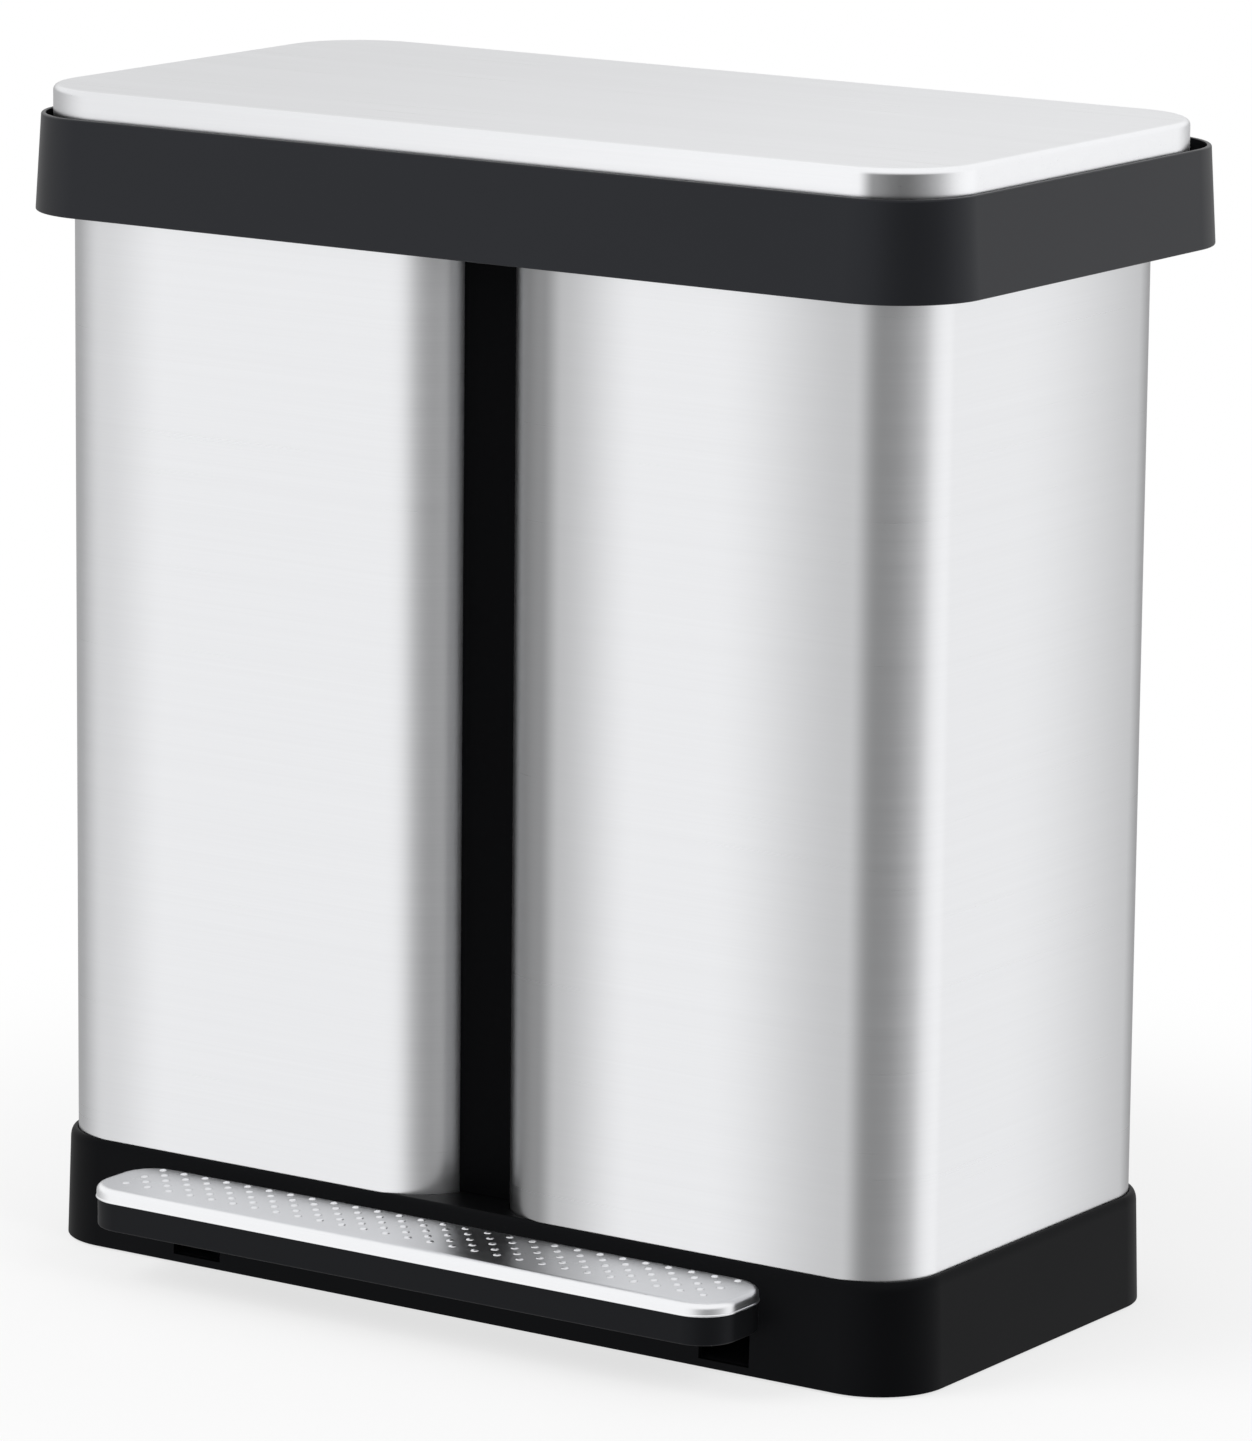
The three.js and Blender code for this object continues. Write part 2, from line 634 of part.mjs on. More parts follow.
function lidLiner() {
  const gap = SHEET + SEAT_GAP;
  const size = [lidWidth - 2 * gap, lidDepth - 2 * gap, LID_RADIUS - gap];
  const wallSize = [size[0] - 2 * LINER_WALL, size[1] - 2 * LINER_WALL, size[2] - LINER_WALL];
  const top = lidTop - SHEET - SEAT_GAP;
  const outer = stack(...size, [[linerBottom, 0], [lidTop - LID_EDGE - 1, 0], [top, LID_EDGE + 1]], 0, lidY);
  const below = stack(...wallSize, [[linerBottom - 1, 0], [panelBottom, 0]], 0, lidY);
  const above = stack(...wallSize, [[panelTop, 2], [lidTop, 2]], 0, lidY);
  const lugs = sides.map(([, sign]) => {
    const [x0, x1] = [sign * HINGE_STATION - HINGE_LUG_WIDTH / 2, sign * HINGE_STATION + HINGE_LUG_WIDTH / 2];
    const web = block(
      [x0, hingeY - HINGE_BOSS_RADIUS, hingeZ],
      [x1, hingeY + HINGE_BOSS_RADIUS, panelBottom + 1],
    );
    return joined(web, barX(HINGE_BOSS_RADIUS, x0, x1, hingeY, hingeZ));
  });
  const cranks = [-1, 1].map((sign) => crankPlate(...span(sign, crankX, crankX + CRANK_PLATE)));
  const earNotches = sides.flatMap(([, sign]) =>
    [-1, 1].map((ear) => {
      const near = sign * HINGE_STATION + ear * (HINGE_LUG_WIDTH / 2);
      const far = near + ear * (HINGE_EAR_WIDTH + 4);
      const [x0, x1] = [Math.min(near, far), Math.max(near, far)];
      return block([x0, hingeY + 2, linerBottom - 1], [x1, lidBack, hingeZ + HINGE_BOSS_RADIUS + 1]);
    }),
  );
  const pinBores = sides.map(([, sign]) => {
    const reach = HINGE_LUG_WIDTH;
    const middle = sign * HINGE_STATION;
    return barX(HINGE_PIN_RADIUS + SEAT_GAP, middle - reach, middle + reach, hingeY, hingeZ);
  });
  const crankBore = barX(LINK_PIN_RADIUS + SEAT_GAP, -20, 20, crankPinY, crankPinZ);
  let body = cut(solid(outer), below, above);
  for (const lug of lugs) body = body.add(lug);
  return cut(body.add(joined(...cranks)), ...earNotches, ...pinBores, crankBore);
}
add("lid_liner", lidLiner(), blackPlastic());

// A pin along X from its flat head at x = 0 to its tip at x = length.
function headedPin(radius, length) {
  const profile = [
    [0, 0],
    [radius + 1.2, 0],
    [radius + 1.2, 1.2],
    [radius, 1.2],
    [radius, length - 0.5],
    [radius - 0.5, length],
    [0, length],
  ];
  return turned(profile).rotateY(Math.PI / 2);
}
const hingeReach = HINGE_LUG_WIDTH / 2 + SEAT_GAP + HINGE_EAR_WIDTH;
const pinHead = 1.2 + SEAT_GAP;
for (const [side, sign] of sides) {
  const pin = headedPin(HINGE_PIN_RADIUS, 2 * hingeReach + pinHead);
  const mesh = add("hinge_pin_" + side, pin, zincSteel());
  mesh.position.set(sign * HINGE_STATION - hingeReach - pinHead, hingeY, hingeZ);
}
const crankReach = crankX + CRANK_PLATE;
add("crank_pin", headedPin(LINK_PIN_RADIUS, 2 * crankReach + pinHead), zincSteel()).position.set(
  -crankReach - pinHead,
  crankPinY,
  crankPinZ,
);

// ---------------------------------------------------------------- lift rod, lever and shaft

const leverReach = Math.hypot(rodY - shaftY, LEVER_PIN_Z - SHAFT_Z);
const leverShift = leverReach * 0.005; // the pin's travel along its slot
const lowerSlot = LINK_PIN_RADIUS + leverShift + ROD_LIFT_PLAY;
const upperSlot = LINK_PIN_RADIUS + crankShift + ROD_LIFT_PLAY;

// A level slot, centred on (y, z), as a hole path.
function levelSlot(y, z, halfLength) {
  const halfHeight = LINK_PIN_RADIUS + ROD_LIFT_PLAY;
  const slot = roundedRect(2 * halfLength, 2 * halfHeight, Math.min(2, halfHeight / 2));
  return slab(slot, -10, 10).translate(0, y, z);
}

// A flat steel rod with a widened eye at each end. Each link pin runs in a level slot there.
function liftRod() {
  const eyeHeight = LINK_PIN_RADIUS + ROD_LIFT_PLAY + ROD_EYE_WALL;
  const half = ROD_THICKNESS / 2;
  const eye = (z, slot) =>
    slab(roundedRect(2 * (slot + ROD_EYE_WALL), 2 * eyeHeight, 3), -half, half).translate(0, rodY, z);
  const stem = block([-half, rodY - ROD_WIDTH / 2, LEVER_PIN_Z + eyeHeight - 1], [
    half,
    rodY + ROD_WIDTH / 2,
    crankPinZ - eyeHeight + 1,
  ]);
  const body = joined(stem, eye(LEVER_PIN_Z, lowerSlot), eye(crankPinZ, upperSlot));
  return cut(body, levelSlot(rodY, LEVER_PIN_Z, lowerSlot), levelSlot(rodY, crankPinZ, upperSlot));
}
add("lift_rod", liftRod(), zincSteel());

const leverX = ROD_THICKNESS / 2 + 0.8;

function liftLever() {
  const end = LINK_PIN_RADIUS + 4;
  const web = outline([
    [shaftY, SHAFT_Z - BOSS_RADIUS],
    [rodY, LEVER_PIN_Z - end],
    [rodY, LEVER_PIN_Z + end],
    [shaftY, SHAFT_Z + BOSS_RADIUS],
  ]);
  const x1 = leverX + LEVER_THICKNESS;
  const body = joined(
    slab(web, leverX, x1),
    barX(BOSS_RADIUS, leverX, x1 + 8, shaftY, SHAFT_Z),
    barX(end, leverX, x1, rodY, LEVER_PIN_Z),
  );
  return cut(
    body,
    barX(SHAFT_RADIUS + SEAT_GAP, leverX - 1, x1 + 9, shaftY, SHAFT_Z),
    barX(LINK_PIN_RADIUS + SEAT_GAP, leverX - 1, x1 + 1, rodY, LEVER_PIN_Z),
  );
}
add("lift_lever", liftLever(), zincSteel());

const leverPinLength = leverX + LEVER_THICKNESS + ROD_THICKNESS / 2 + 2 + pinHead;
const leverPin = headedPin(LINK_PIN_RADIUS, leverPinLength).rotateZ(Math.PI);
add("lever_pin", leverPin, zincSteel()).position.set(leverX + LEVER_THICKNESS + pinHead, rodY, LEVER_PIN_Z);

add("treadle_shaft", barX(SHAFT_RADIUS, -shaftEnd, shaftEnd, shaftY, SHAFT_Z), zincSteel());

for (const [side, sign] of sides) {
  const [x0, x1] = span(sign, bracketX - BRACKET_WIDTH / 2, bracketX + BRACKET_WIDTH / 2);
  const foot = outline([
    [shaftY - 16, plateTop + SEAT_GAP],
    [shaftY + 16, plateTop + SEAT_GAP],
    [shaftY + BOSS_RADIUS, SHAFT_Z],
    [shaftY - BOSS_RADIUS, SHAFT_Z],
  ]);
  const bracket = joined(slab(foot, x0, x1), barX(BOSS_RADIUS, x0, x1, shaftY, SHAFT_Z));
  const bore = barX(SHAFT_RADIUS + SEAT_GAP, x0 - 1, x1 + 1, shaftY, SHAFT_Z);
  add("shaft_bracket_" + side, cut(bracket, bore), greyPlastic());
}

// Spring clips that keep the shaft from sliding out of the arms.
for (const [side, sign] of sides) {
  const [x0, x1] = span(sign, armX + ARM_WIDTH / 2 + SEAT_GAP, armX + ARM_WIDTH / 2 + SEAT_GAP + 1.2);
  const ring = solid(barX(SHAFT_RADIUS + 3, x0, x1, shaftY, SHAFT_Z));
  const clip = cut(ring, barX(SHAFT_RADIUS + SEAT_GAP, x0 - 1, x1 + 1, shaftY, SHAFT_Z));
  add("shaft_clip_" + side, clip, zincSteel());
}

// ---------------------------------------------------------------- treadle

const steelBottom = PEDAL_TOP - PEDAL_STEEL_HEIGHT;
const armTop = PEDAL_BODY_BOTTOM - SEAT_GAP;
const armFront = pedalBack - ARM_REACH;
const armScrewYs = [armFront + 7, pedalBack - 7];

function treadleSteel() {
  const outer = stack(
    PEDAL_WIDTH,
    PEDAL_DEPTH,
    PEDAL_RADIUS,
    [
      [steelBottom, 0],
      [steelBottom + 1, 0.4],
      [PEDAL_TOP - PEDAL_EDGE, 0.4],
      [PEDAL_TOP - PEDAL_EDGE * 0.5, 0.4 + PEDAL_EDGE * 0.14],
      [PEDAL_TOP - PEDAL_EDGE * 0.14, 0.4 + PEDAL_EDGE * 0.5],
      [PEDAL_TOP, 0.4 + PEDAL_EDGE],
    ],
    0,
    pedalY,
  );
  const wall = PEDAL_SHEET + 0.4;
  const inner = stack(
    PEDAL_WIDTH - 2 * wall,
    PEDAL_DEPTH - 2 * wall,
    PEDAL_RADIUS - wall,
    [
      [steelBottom - 1, 0],
      [PEDAL_TOP - PEDAL_EDGE, 0],
      [PEDAL_TOP - PEDAL_SHEET, PEDAL_EDGE * 0.8],
    ],
    0,
    pedalY,
  );
  return cut(solid(outer), inner);
}
add("treadle_steel", treadleSteel(), brushedSteel());

// The black bar under the steel, hollow from below, with a solid block over each arm.
function treadleBody() {
  const inset = 1;
  const plug = PEDAL_SHEET + 0.4 + SEAT_GAP;
  const plugTop = PEDAL_TOP - PEDAL_SHEET - SEAT_GAP;
  const lower = stack(
    PEDAL_WIDTH - 2 * inset,
    PEDAL_DEPTH - 2 * inset,
    PEDAL_RADIUS - inset,
    [
      [PEDAL_BODY_BOTTOM, 1],
      [PEDAL_BODY_BOTTOM + 1.5, 0],
      [steelBottom - SEAT_GAP, 0],
    ],
    0,
    pedalY,
  );
  const upper = stack(
    PEDAL_WIDTH - 2 * plug,
    PEDAL_DEPTH - 2 * plug,
    PEDAL_RADIUS - plug,
    [
      [steelBottom - 2, 0],
      [PEDAL_TOP - PEDAL_EDGE - SEAT_GAP, 0],
      [plugTop, PEDAL_EDGE],
    ],
    0,
    pedalY,
  );
  const wall = 2 * (inset + PEDAL_WALL);
  const pocket = roundedRect(PEDAL_WIDTH - wall, PEDAL_DEPTH - wall, PEDAL_RADIUS - inset - PEDAL_WALL);
  const hollow = prism(pocket, PEDAL_BODY_BOTTOM - 1, plugTop - PEDAL_WALL, 0, pedalY);
  const blocks = sides.map(([, sign]) => {
    const [x0, x1] = span(sign, armX - ARM_WIDTH / 2, armX + ARM_WIDTH / 2);
    const low = [x0, armFront, PEDAL_BODY_BOTTOM];
    return block(low, [x1, pedalBack - inset - 1, plugTop - PEDAL_WALL + 0.5]);
  });
  const bores = sides.flatMap(([, sign]) =>
    armScrewYs.map((y) =>
      barZ(SCREW_RADIUS + SEAT_GAP, PEDAL_BODY_BOTTOM - 1, PEDAL_BODY_BOTTOM + 11, sign * armX, y),
    ),
  );
  return cut(cut(joined(lower, upper), hollow).add(joined(...blocks)), ...bores);
}
add("treadle_body", treadleBody(), blackPlastic());

// Distance from an arm's underside to its screw's seat.
const ARM_SEAT = 3.5;
const armBottomAt = (y) => THREE.MathUtils.mapLinear(y, armFront, shaftY, SHAFT_Z - 1.5, SHAFT_Z - 6);

for (const [side, sign] of sides) {
  const [x0, x1] = span(sign, armX - ARM_WIDTH / 2, armX + ARM_WIDTH / 2);
  const web = outline([
    [armFront, armBottomAt(armFront)],
    [shaftY, armBottomAt(shaftY)],
    [shaftY, armTop],
    [armFront, armTop],
  ]);
  const arm = joined(slab(web, x0, x1), barX(BOSS_RADIUS, x0, x1, shaftY, SHAFT_Z));
  const tools = [barX(SHAFT_RADIUS + SEAT_GAP, x0 - 1, x1 + 1, shaftY, SHAFT_Z)];
  for (const y of armScrewYs) {
    const seat = armBottomAt(y) + ARM_SEAT;
    tools.push(barZ(SCREW_RADIUS + SEAT_GAP, seat - 1, armTop + 1, sign * armX, y));
    tools.push(barZ(SCREW_HEAD_RADIUS + SEAT_GAP, armBottomAt(y) - 3, seat, sign * armX, y));
  }
  add("treadle_arm_" + side, cut(arm, ...tools), zincSteel());
  armScrewYs.forEach((y, i) => {
    const mesh = add(`treadle_screw_${side}_${i + 1}`, screw(13), zincSteel());
    mesh.position.set(sign * armX, y, armBottomAt(y) + ARM_SEAT);
  });
}

// ---------------------------------------------------------------- buckets and their handles

const bodyWidth = rimWidth - 2 * BUCKET_RIM_WIDTH;
const bodyDepth = rimDepth - 2 * BUCKET_RIM_WIDTH;
const handleHalf = bodyWidth / 2; // outer half width of the handle
const earX0 = handleHalf + 1.2;

function bucket(centre) {
  const levels = [
    [shellBottom, BUCKET_TAPER + 1],
    [shellBottom + 2, BUCKET_TAPER],
    [bucketTop - 0.5, 0],
  ];
  const innerLevels = [
    [shellBottom + BUCKET_WALL + 1, BUCKET_TAPER],
    [bucketTop + 1, 0],
  ];
  const wall = 2 * BUCKET_WALL;
  const outer = stack(bodyWidth, bodyDepth, BUCKET_RADIUS, levels, centre);
  const rim = prism(
    roundedRect(rimWidth, rimDepth, BUCKET_RADIUS + BUCKET_RIM_GAP),
    bucketTop - BUCKET_RIM_THICKNESS,
    bucketTop,
    centre,
  );
  const innerRadius = BUCKET_RADIUS - BUCKET_WALL;
  const inner = stack(bodyWidth - wall, bodyDepth - wall, innerRadius, innerLevels, centre);
  const ears = [-1, 1].map((side) => {
    const [x0, x1] = span(side, earX0, earX0 + 3);
    return block([centre + x0, -7, bucketTop - 1], [centre + x1, 7, handleZ + HANDLE_PIVOT_RADIUS + 2.5]);
  });
  const bores = [-1, 1].map((side) => {
    const [x0, x1] = span(side, earX0 - 1, earX0 + 4);
    return barX(HANDLE_PIVOT_RADIUS + SEAT_GAP, centre + x0, centre + x1, 0, handleZ);
  });
  return cut(cut(joined(outer, rim), inner).add(joined(...ears)), ...bores);
}

// A flat bail that lies on the front half of the rim. Its round ends turn in the bucket's ears.
function bucketHandle(centre) {
  const half = handleHalf - HANDLE_BAR;
  const front = -bodyDepth / 2;
  const corner = BUCKET_RADIUS;
  const plan = new THREE.Shape()
    .moveTo(handleHalf, 0)
    .lineTo(half, 0)
    .absarc(half + HANDLE_BAR - corner, front + corner, corner - HANDLE_BAR, 0, -Math.PI / 2, true)
    .absarc(-half - HANDLE_BAR + corner, front + corner, corner - HANDLE_BAR, -Math.PI / 2, -Math.PI, true)
    .lineTo(-half, 0)
    .lineTo(-handleHalf, 0)
    .absarc(-handleHalf + corner, front + corner, corner, Math.PI, 1.5 * Math.PI)
    .absarc(handleHalf - corner, front + corner, corner, 1.5 * Math.PI, 2 * Math.PI);
  const bottom = bucketTop + SEAT_GAP;
  const stubs = [-1, 1].map((side) => {
    const [x0, x1] = span(side, half, earX0 + 3);
    return barX(HANDLE_PIVOT_RADIUS, centre + x0, centre + x1, 0, handleZ);
  });
  return joined(prism(plan, bottom, bottom + HANDLE_THICKNESS, centre), ...stubs);
}

for (const [side, sign] of sides) {
  add("bucket_" + side, bucket(sign * shellX), greyPlastic());
  add("bucket_handle_" + side, bucketHandle(sign * shellX), blackPlastic());
}

// ---------------------------------------------------------------- soft-close damper

const damperY = rodY - ROD_WIDTH / 2 - DAMPER_RADIUS - 3;
const damperTop = DAMPER_BOTTOM + DAMPER_LENGTH;
const damperRodTop = damperTop + 12;

// Oil cylinder, with a bore for the piston and a narrower gland at the top.
const cylinder = turned([
  [0, DAMPER_BOTTOM],
  [DAMPER_RADIUS, DAMPER_BOTTOM],
  [DAMPER_RADIUS, damperTop],
  [DAMPER_ROD_RADIUS + SEAT_GAP, damperTop],
  [DAMPER_ROD_RADIUS + SEAT_GAP, damperTop - 6],
  [DAMPER_RADIUS - 1.5, damperTop - 6],
  [DAMPER_RADIUS - 1.5, DAMPER_BOTTOM + 3],
  [0, DAMPER_BOTTOM + 3],
]);
add("damper_cylinder", cylinder.translate(0, damperY, 0), zincSteel());

// Piston and rod. The arm at the rod's top is fixed round the lift rod.
const pistonRadius = DAMPER_RADIUS - 1.5 - SEAT_GAP;
const pistonBottom = DAMPER_BOTTOM + 20;
const damperRod = turned([
  [0, pistonBottom],
  [pistonRadius, pistonBottom],
  [pistonRadius, pistonBottom + 8],
  [DAMPER_ROD_RADIUS, pistonBottom + 8],
  [DAMPER_ROD_RADIUS, damperRodTop],
  [0, damperRodTop],
]);
add("damper_piston", damperRod.translate(0, damperY, 0), zincSteel());

function damperArm() {
  const half = ROD_THICKNESS / 2 + SEAT_GAP + 2;
  const back = rodY + ROD_WIDTH / 2 + SEAT_GAP + 1;
  const z0 = damperRodTop - 6;
  const rodHole = block([-ROD_THICKNESS / 2 - SEAT_GAP, rodY - ROD_WIDTH / 2 - SEAT_GAP, z0 - 1], [
    ROD_THICKNESS / 2 + SEAT_GAP,
    rodY + ROD_WIDTH / 2 + SEAT_GAP,
    z0 + 9,
  ]);
  const stemHole = barZ(DAMPER_ROD_RADIUS + SEAT_GAP, z0 - 1, damperRodTop + SEAT_GAP, 0, damperY);
  return cut(solid(block([-half, damperY - 4, z0], [half, back, z0 + 8])), rodHole, stemHole);
}
add("damper_arm", damperArm(), greyPlastic());

// A saddle between the rear spine's side walls that holds the cylinder's foot.
function damperBracket() {
  const half = spineHalf - SPINE_WALL - SEAT_GAP;
  const z0 = DAMPER_BOTTOM - 8;
  const front = damperY - DAMPER_RADIUS - 2;
  const back = rodY - ROD_WIDTH / 2 - 1;
  const seat = barZ(DAMPER_RADIUS + SEAT_GAP, DAMPER_BOTTOM - SEAT_GAP, z0 + 30, 0, damperY, 24);
  return cut(solid(block([-half, front, z0], [half, back, z0 + 22])), seat);
}
add("damper_bracket", damperBracket(), greyPlastic());

// ---------------------------------------------------------------- the row's origin

// The outline reaches from the treadle's front edge to the collar's lower back edge.
const outlineBack = halfDepth + COLLAR_BACK;
bin.position.y = -(pedalFront + outlineBack) / 2;

export default bin;
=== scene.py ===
# %% [markdown]
# # A double recycling bin
#
# Two brushed steel columns stand on a black base, under a black collar and one wide steel lid. A treadle along
# the front lifts the lid. The frame that is loaded here holds every sub-part at its true size and place. This
# lesson gives them their looks: finer shapes where a corner, an edge or a dot shows, and a finish for each.

# %% Load the fixed frame
import json
import math

import bmesh
import bpy
from mathutils import Matrix, Vector


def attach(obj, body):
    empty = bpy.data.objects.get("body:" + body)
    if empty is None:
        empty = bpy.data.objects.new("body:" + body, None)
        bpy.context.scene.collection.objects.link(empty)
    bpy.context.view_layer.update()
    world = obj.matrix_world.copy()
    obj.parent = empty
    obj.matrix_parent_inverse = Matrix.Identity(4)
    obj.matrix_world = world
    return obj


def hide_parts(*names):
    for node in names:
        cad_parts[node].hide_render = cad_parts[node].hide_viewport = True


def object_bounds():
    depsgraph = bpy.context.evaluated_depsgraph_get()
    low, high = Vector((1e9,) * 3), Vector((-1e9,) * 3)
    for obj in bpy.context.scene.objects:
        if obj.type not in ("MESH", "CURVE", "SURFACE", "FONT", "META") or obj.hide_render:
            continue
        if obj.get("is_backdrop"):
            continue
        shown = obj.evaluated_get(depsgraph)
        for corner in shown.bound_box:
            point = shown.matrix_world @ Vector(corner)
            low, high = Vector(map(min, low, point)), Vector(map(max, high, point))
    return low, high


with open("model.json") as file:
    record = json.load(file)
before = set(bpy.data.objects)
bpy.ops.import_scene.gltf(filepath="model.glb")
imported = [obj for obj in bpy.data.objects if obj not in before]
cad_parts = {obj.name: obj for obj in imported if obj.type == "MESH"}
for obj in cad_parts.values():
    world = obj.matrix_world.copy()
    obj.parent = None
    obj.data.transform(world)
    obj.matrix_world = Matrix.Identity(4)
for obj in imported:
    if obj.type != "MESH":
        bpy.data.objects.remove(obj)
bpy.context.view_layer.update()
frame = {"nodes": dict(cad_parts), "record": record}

scene = bpy.context.scene
nodes = frame["nodes"]
for spare in ("Cube", "Light", "Camera"):
    if spare in bpy.data.objects:
        bpy.data.objects.remove(bpy.data.objects[spare])

# %% [markdown]
# ## The camera
#
# The photograph was taken from the bin's front right, a little above it, through a long lens, so that its upright
# edges stay almost parallel. A camera fitted to the outlines gave the numbers below. The picture is taller than
# wide, and Blender lays the sensor's width along the longer side, so the lens belongs to the picture's height.

# %% Place the camera
MM = 0.001
PHOTO_HEIGHT = 1441  # pixels
FOCAL_PIXELS = 7792.3
SENSOR = 36
CAMERA_PLACE = Vector((2350.75, -3457.25, 1174.73)) * MM
CAMERA_TARGET = Vector((-22.84, 68.5, 296.65)) * MM
CAMERA_ROLL = math.radians(0.587)

camera_data = bpy.data.cameras.new("photo_camera")
camera_data.sensor_width = SENSOR
camera_data.lens = FOCAL_PIXELS * SENSOR / PHOTO_HEIGHT
camera_data.clip_start, camera_data.clip_end = 0.1, 100
camera = bpy.data.objects.new("photo_camera", camera_data)
scene.collection.objects.link(camera)
camera.location = CAMERA_PLACE
aim = (CAMERA_TARGET - CAMERA_PLACE).to_track_quat("-Z", "Y").to_matrix().to_4x4()
camera.rotation_euler = (aim @ Matrix.Rotation(CAMERA_ROLL, 4, "Z")).to_euler()
scene.camera = camera
scene.view_settings.view_transform = "Standard"
print("lens", round(camera_data.lens, 1), "mm")

# %% [markdown]
# ## Writing materials as sums
#
# A finish is a small recipe: a grain, a slow change of tone, a fine bump. In the editor each step is a node. Here
# one small class wraps a socket, so that plain sums such as `1 - shade * 0.2` add the Math nodes.

# %% A socket that can be used in sums
class Wire:
    def __init__(self, tree, socket):
        self.tree = tree
        self.socket = socket

    def maths(self, operation, *others):
        node = self.tree.nodes.new("ShaderNodeMath")
        node.operation = operation
        for slot, value in zip(node.inputs, (self, *others)):
            plug(self.tree, slot, value)
        return Wire(self.tree, node.outputs[0])

    def __add__(self, other):
        return self.maths("ADD", other)

    def __mul__(self, other):
        return self.maths("MULTIPLY", other)

    def __sub__(self, other):
        return self.maths("SUBTRACT", other)

    def __rsub__(self, other):
        return (self * -1) + other

    def ramp(self, start, end):
        """0 before start and 1 after end, smooth between them. End may lie under start."""
        node = self.tree.nodes.new("ShaderNodeMapRange")
        node.interpolation_type = "SMOOTHSTEP"
        low, high = min(start, end), max(start, end)
        flip = start > end
        values = (self, low, high, 1 if flip else 0, 0 if flip else 1)
        for slot, value in zip(node.inputs, values):
            plug(self.tree, slot, value)
        return Wire(self.tree, node.outputs[0])

    def over(self, start, end):
        """A ramp between two places in millimetres."""
        return self.ramp(start * MM, end * MM)


def plug(tree, slot, value):
    if isinstance(value, Wire):
        tree.links.new(value.socket, slot)
    else:
        slot.default_value = value


class Recipe:
    """A material with one Principled shader, and a way to add nodes to it."""

    def __init__(self, name, constants):
        self.material = bpy.data.materials.new(name)
        self.material.use_nodes = True
        self.tree = self.material.node_tree
        self.shader = self.tree.nodes["Principled BSDF"]
        for socket, value in constants.items():
            self.shader.inputs[socket].default_value = value

    def node(self, kind, output=0, **inputs):
        """Adds a node. Each keyword names one of its sockets."""
        made = self.tree.nodes.new("ShaderNode" + kind)
        for key, value in inputs.items():
            plug(self.tree, made.inputs[key], value)
        return Wire(self.tree, made.outputs[output])

    def place(self):
        """X, Y and Z of a point on the piece, in metres."""
        coordinates = self.node("TexCoord", output=3)
        split = self.tree.nodes.new("ShaderNodeSeparateXYZ")
        self.tree.links.new(coordinates.socket, split.inputs[0])
        return coordinates, [Wire(self.tree, out) for out in split.outputs]

    def grain(self, coordinates, scale, detail=2.0):
        """Noise between 0 and 1, stretched by three scales per metre."""
        stretched = self.node("Mapping", Vector=coordinates, Scale=scale)
        return self.node("TexNoise", Vector=stretched, Scale=1.0, Detail=detail)

    def tone(self, dark, light, factor):
        """A colour from dark to light."""
        mix = self.tree.nodes.new("ShaderNodeMix")
        mix.data_type = "RGBA"
        colours = {6: (*dark, 1), 7: (*light, 1)}
        plug(self.tree, mix.inputs[0], factor)
        for index, colour in colours.items():
            mix.inputs[index].default_value = colour
        return Wire(self.tree, mix.outputs[2])

    def feed(self, socket, value):
        plug(self.tree, self.shader.inputs[socket], value)

    def bump(self, height, strength, distance):
        """Makes the surface rise with height, which is between 0 and 1."""
        self.feed("Normal", self.node("Bump", Height=height, Strength=strength, Distance=distance))


print("a Wire adds", Wire.__add__.__name__, "and other Math nodes")

# %% [markdown]
# ## Brushed stainless steel
#
# The sheet is brushed before it is bent. The brush leaves fine scratches along one direction, which spread each
# reflection across them: on the columns they run level, so that a soft lamp becomes a tall band of light. Noise
# that is stretched a hundred times longer than it is high gives such scratches. They move the roughness, the tone
# and a very shallow bump.
#
# A near softbox leaves wide gradients on flat steel. A surrounding at infinity can't give them, so each sheet's
# base colour carries painted shade over its own X, Y and Z: darker towards its folds, along the right column's
# outer side, at the lid's near front corner, between the domes of the treadle, and most of all in the groove
# between the columns.

# %% Steel finishes
COOL_TINT = (0.975, 0.982, 1.0)
SCRATCH_HEIGHT = 0.02 * MM


def brushed_steel(name, grain_scale, roughness, light, painted_shade_at):
    """The last argument takes the point's X, Y and Z and gives the painted shade there, from 0 (black) to 1 (the
    sheet's own tone).
    """
    recipe = Recipe(name, {"Metallic": 1.0})
    coordinates, place = recipe.place()
    fine = recipe.grain(coordinates, grain_scale, 3.0)
    broad = recipe.grain(coordinates, tuple(s * 0.12 for s in grain_scale), 1.0)
    # Painted shade: the base colour is darkened by this factor.
    clear = painted_shade_at(*place)
    full = tuple(light * tint for tint in COOL_TINT)
    recipe.feed("Base Color", recipe.tone((0, 0, 0), full, clear * (fine * 0.05 + broad * 0.03 + 0.94)))
    recipe.feed("Roughness", fine * 0.10 + broad * 0.04 + (roughness - 0.07))
    recipe.bump(fine, 0.25, SCRATCH_HEIGHT)
    return recipe.material


COLUMN = 147.75  # middle of each column along X, in millimetres
LID_CORNER_X = 242.5  # where the lid's front edge starts to turn
TREADLE_TOP = 55.5


def left_column(x, y, z):
    """Painted shade: darker towards the outer fold."""
    across = x + COLUMN * MM
    return 1 - across.over(-50, -96) * 0.20


def right_column(x, y, z):
    """Painted shade: darker in the groove, before the outer fold, and along the outer side towards the back."""
    across = x - COLUMN * MM
    groove = across.over(-35, -92) * 0.42 + across.over(-84, -97) * 0.26
    outer_fold = across.over(10, 100) * 0.34 + across.over(97, 108) * 0.22
    outer_fold = outer_fold * across.over(124, 108)
    side = across.over(110, 128) * y.over(-25, 205) * 0.55
    return (1 - groove - outer_fold) * (1 - side)


def lid_painted_shade(x, y, z):
    """Painted shade: darker where the skirt turns at its near front corner, and a little towards the left."""
    past = x - LID_CORNER_X * MM
    corner = past.over(8, 17) * past.over(50, 28)
    skirt = z.over(649, 647) * y.over(-75, -95)
    return (x.over(-290, 290) * 0.12 + 0.88) * (1 - corner * skirt * 0.62)


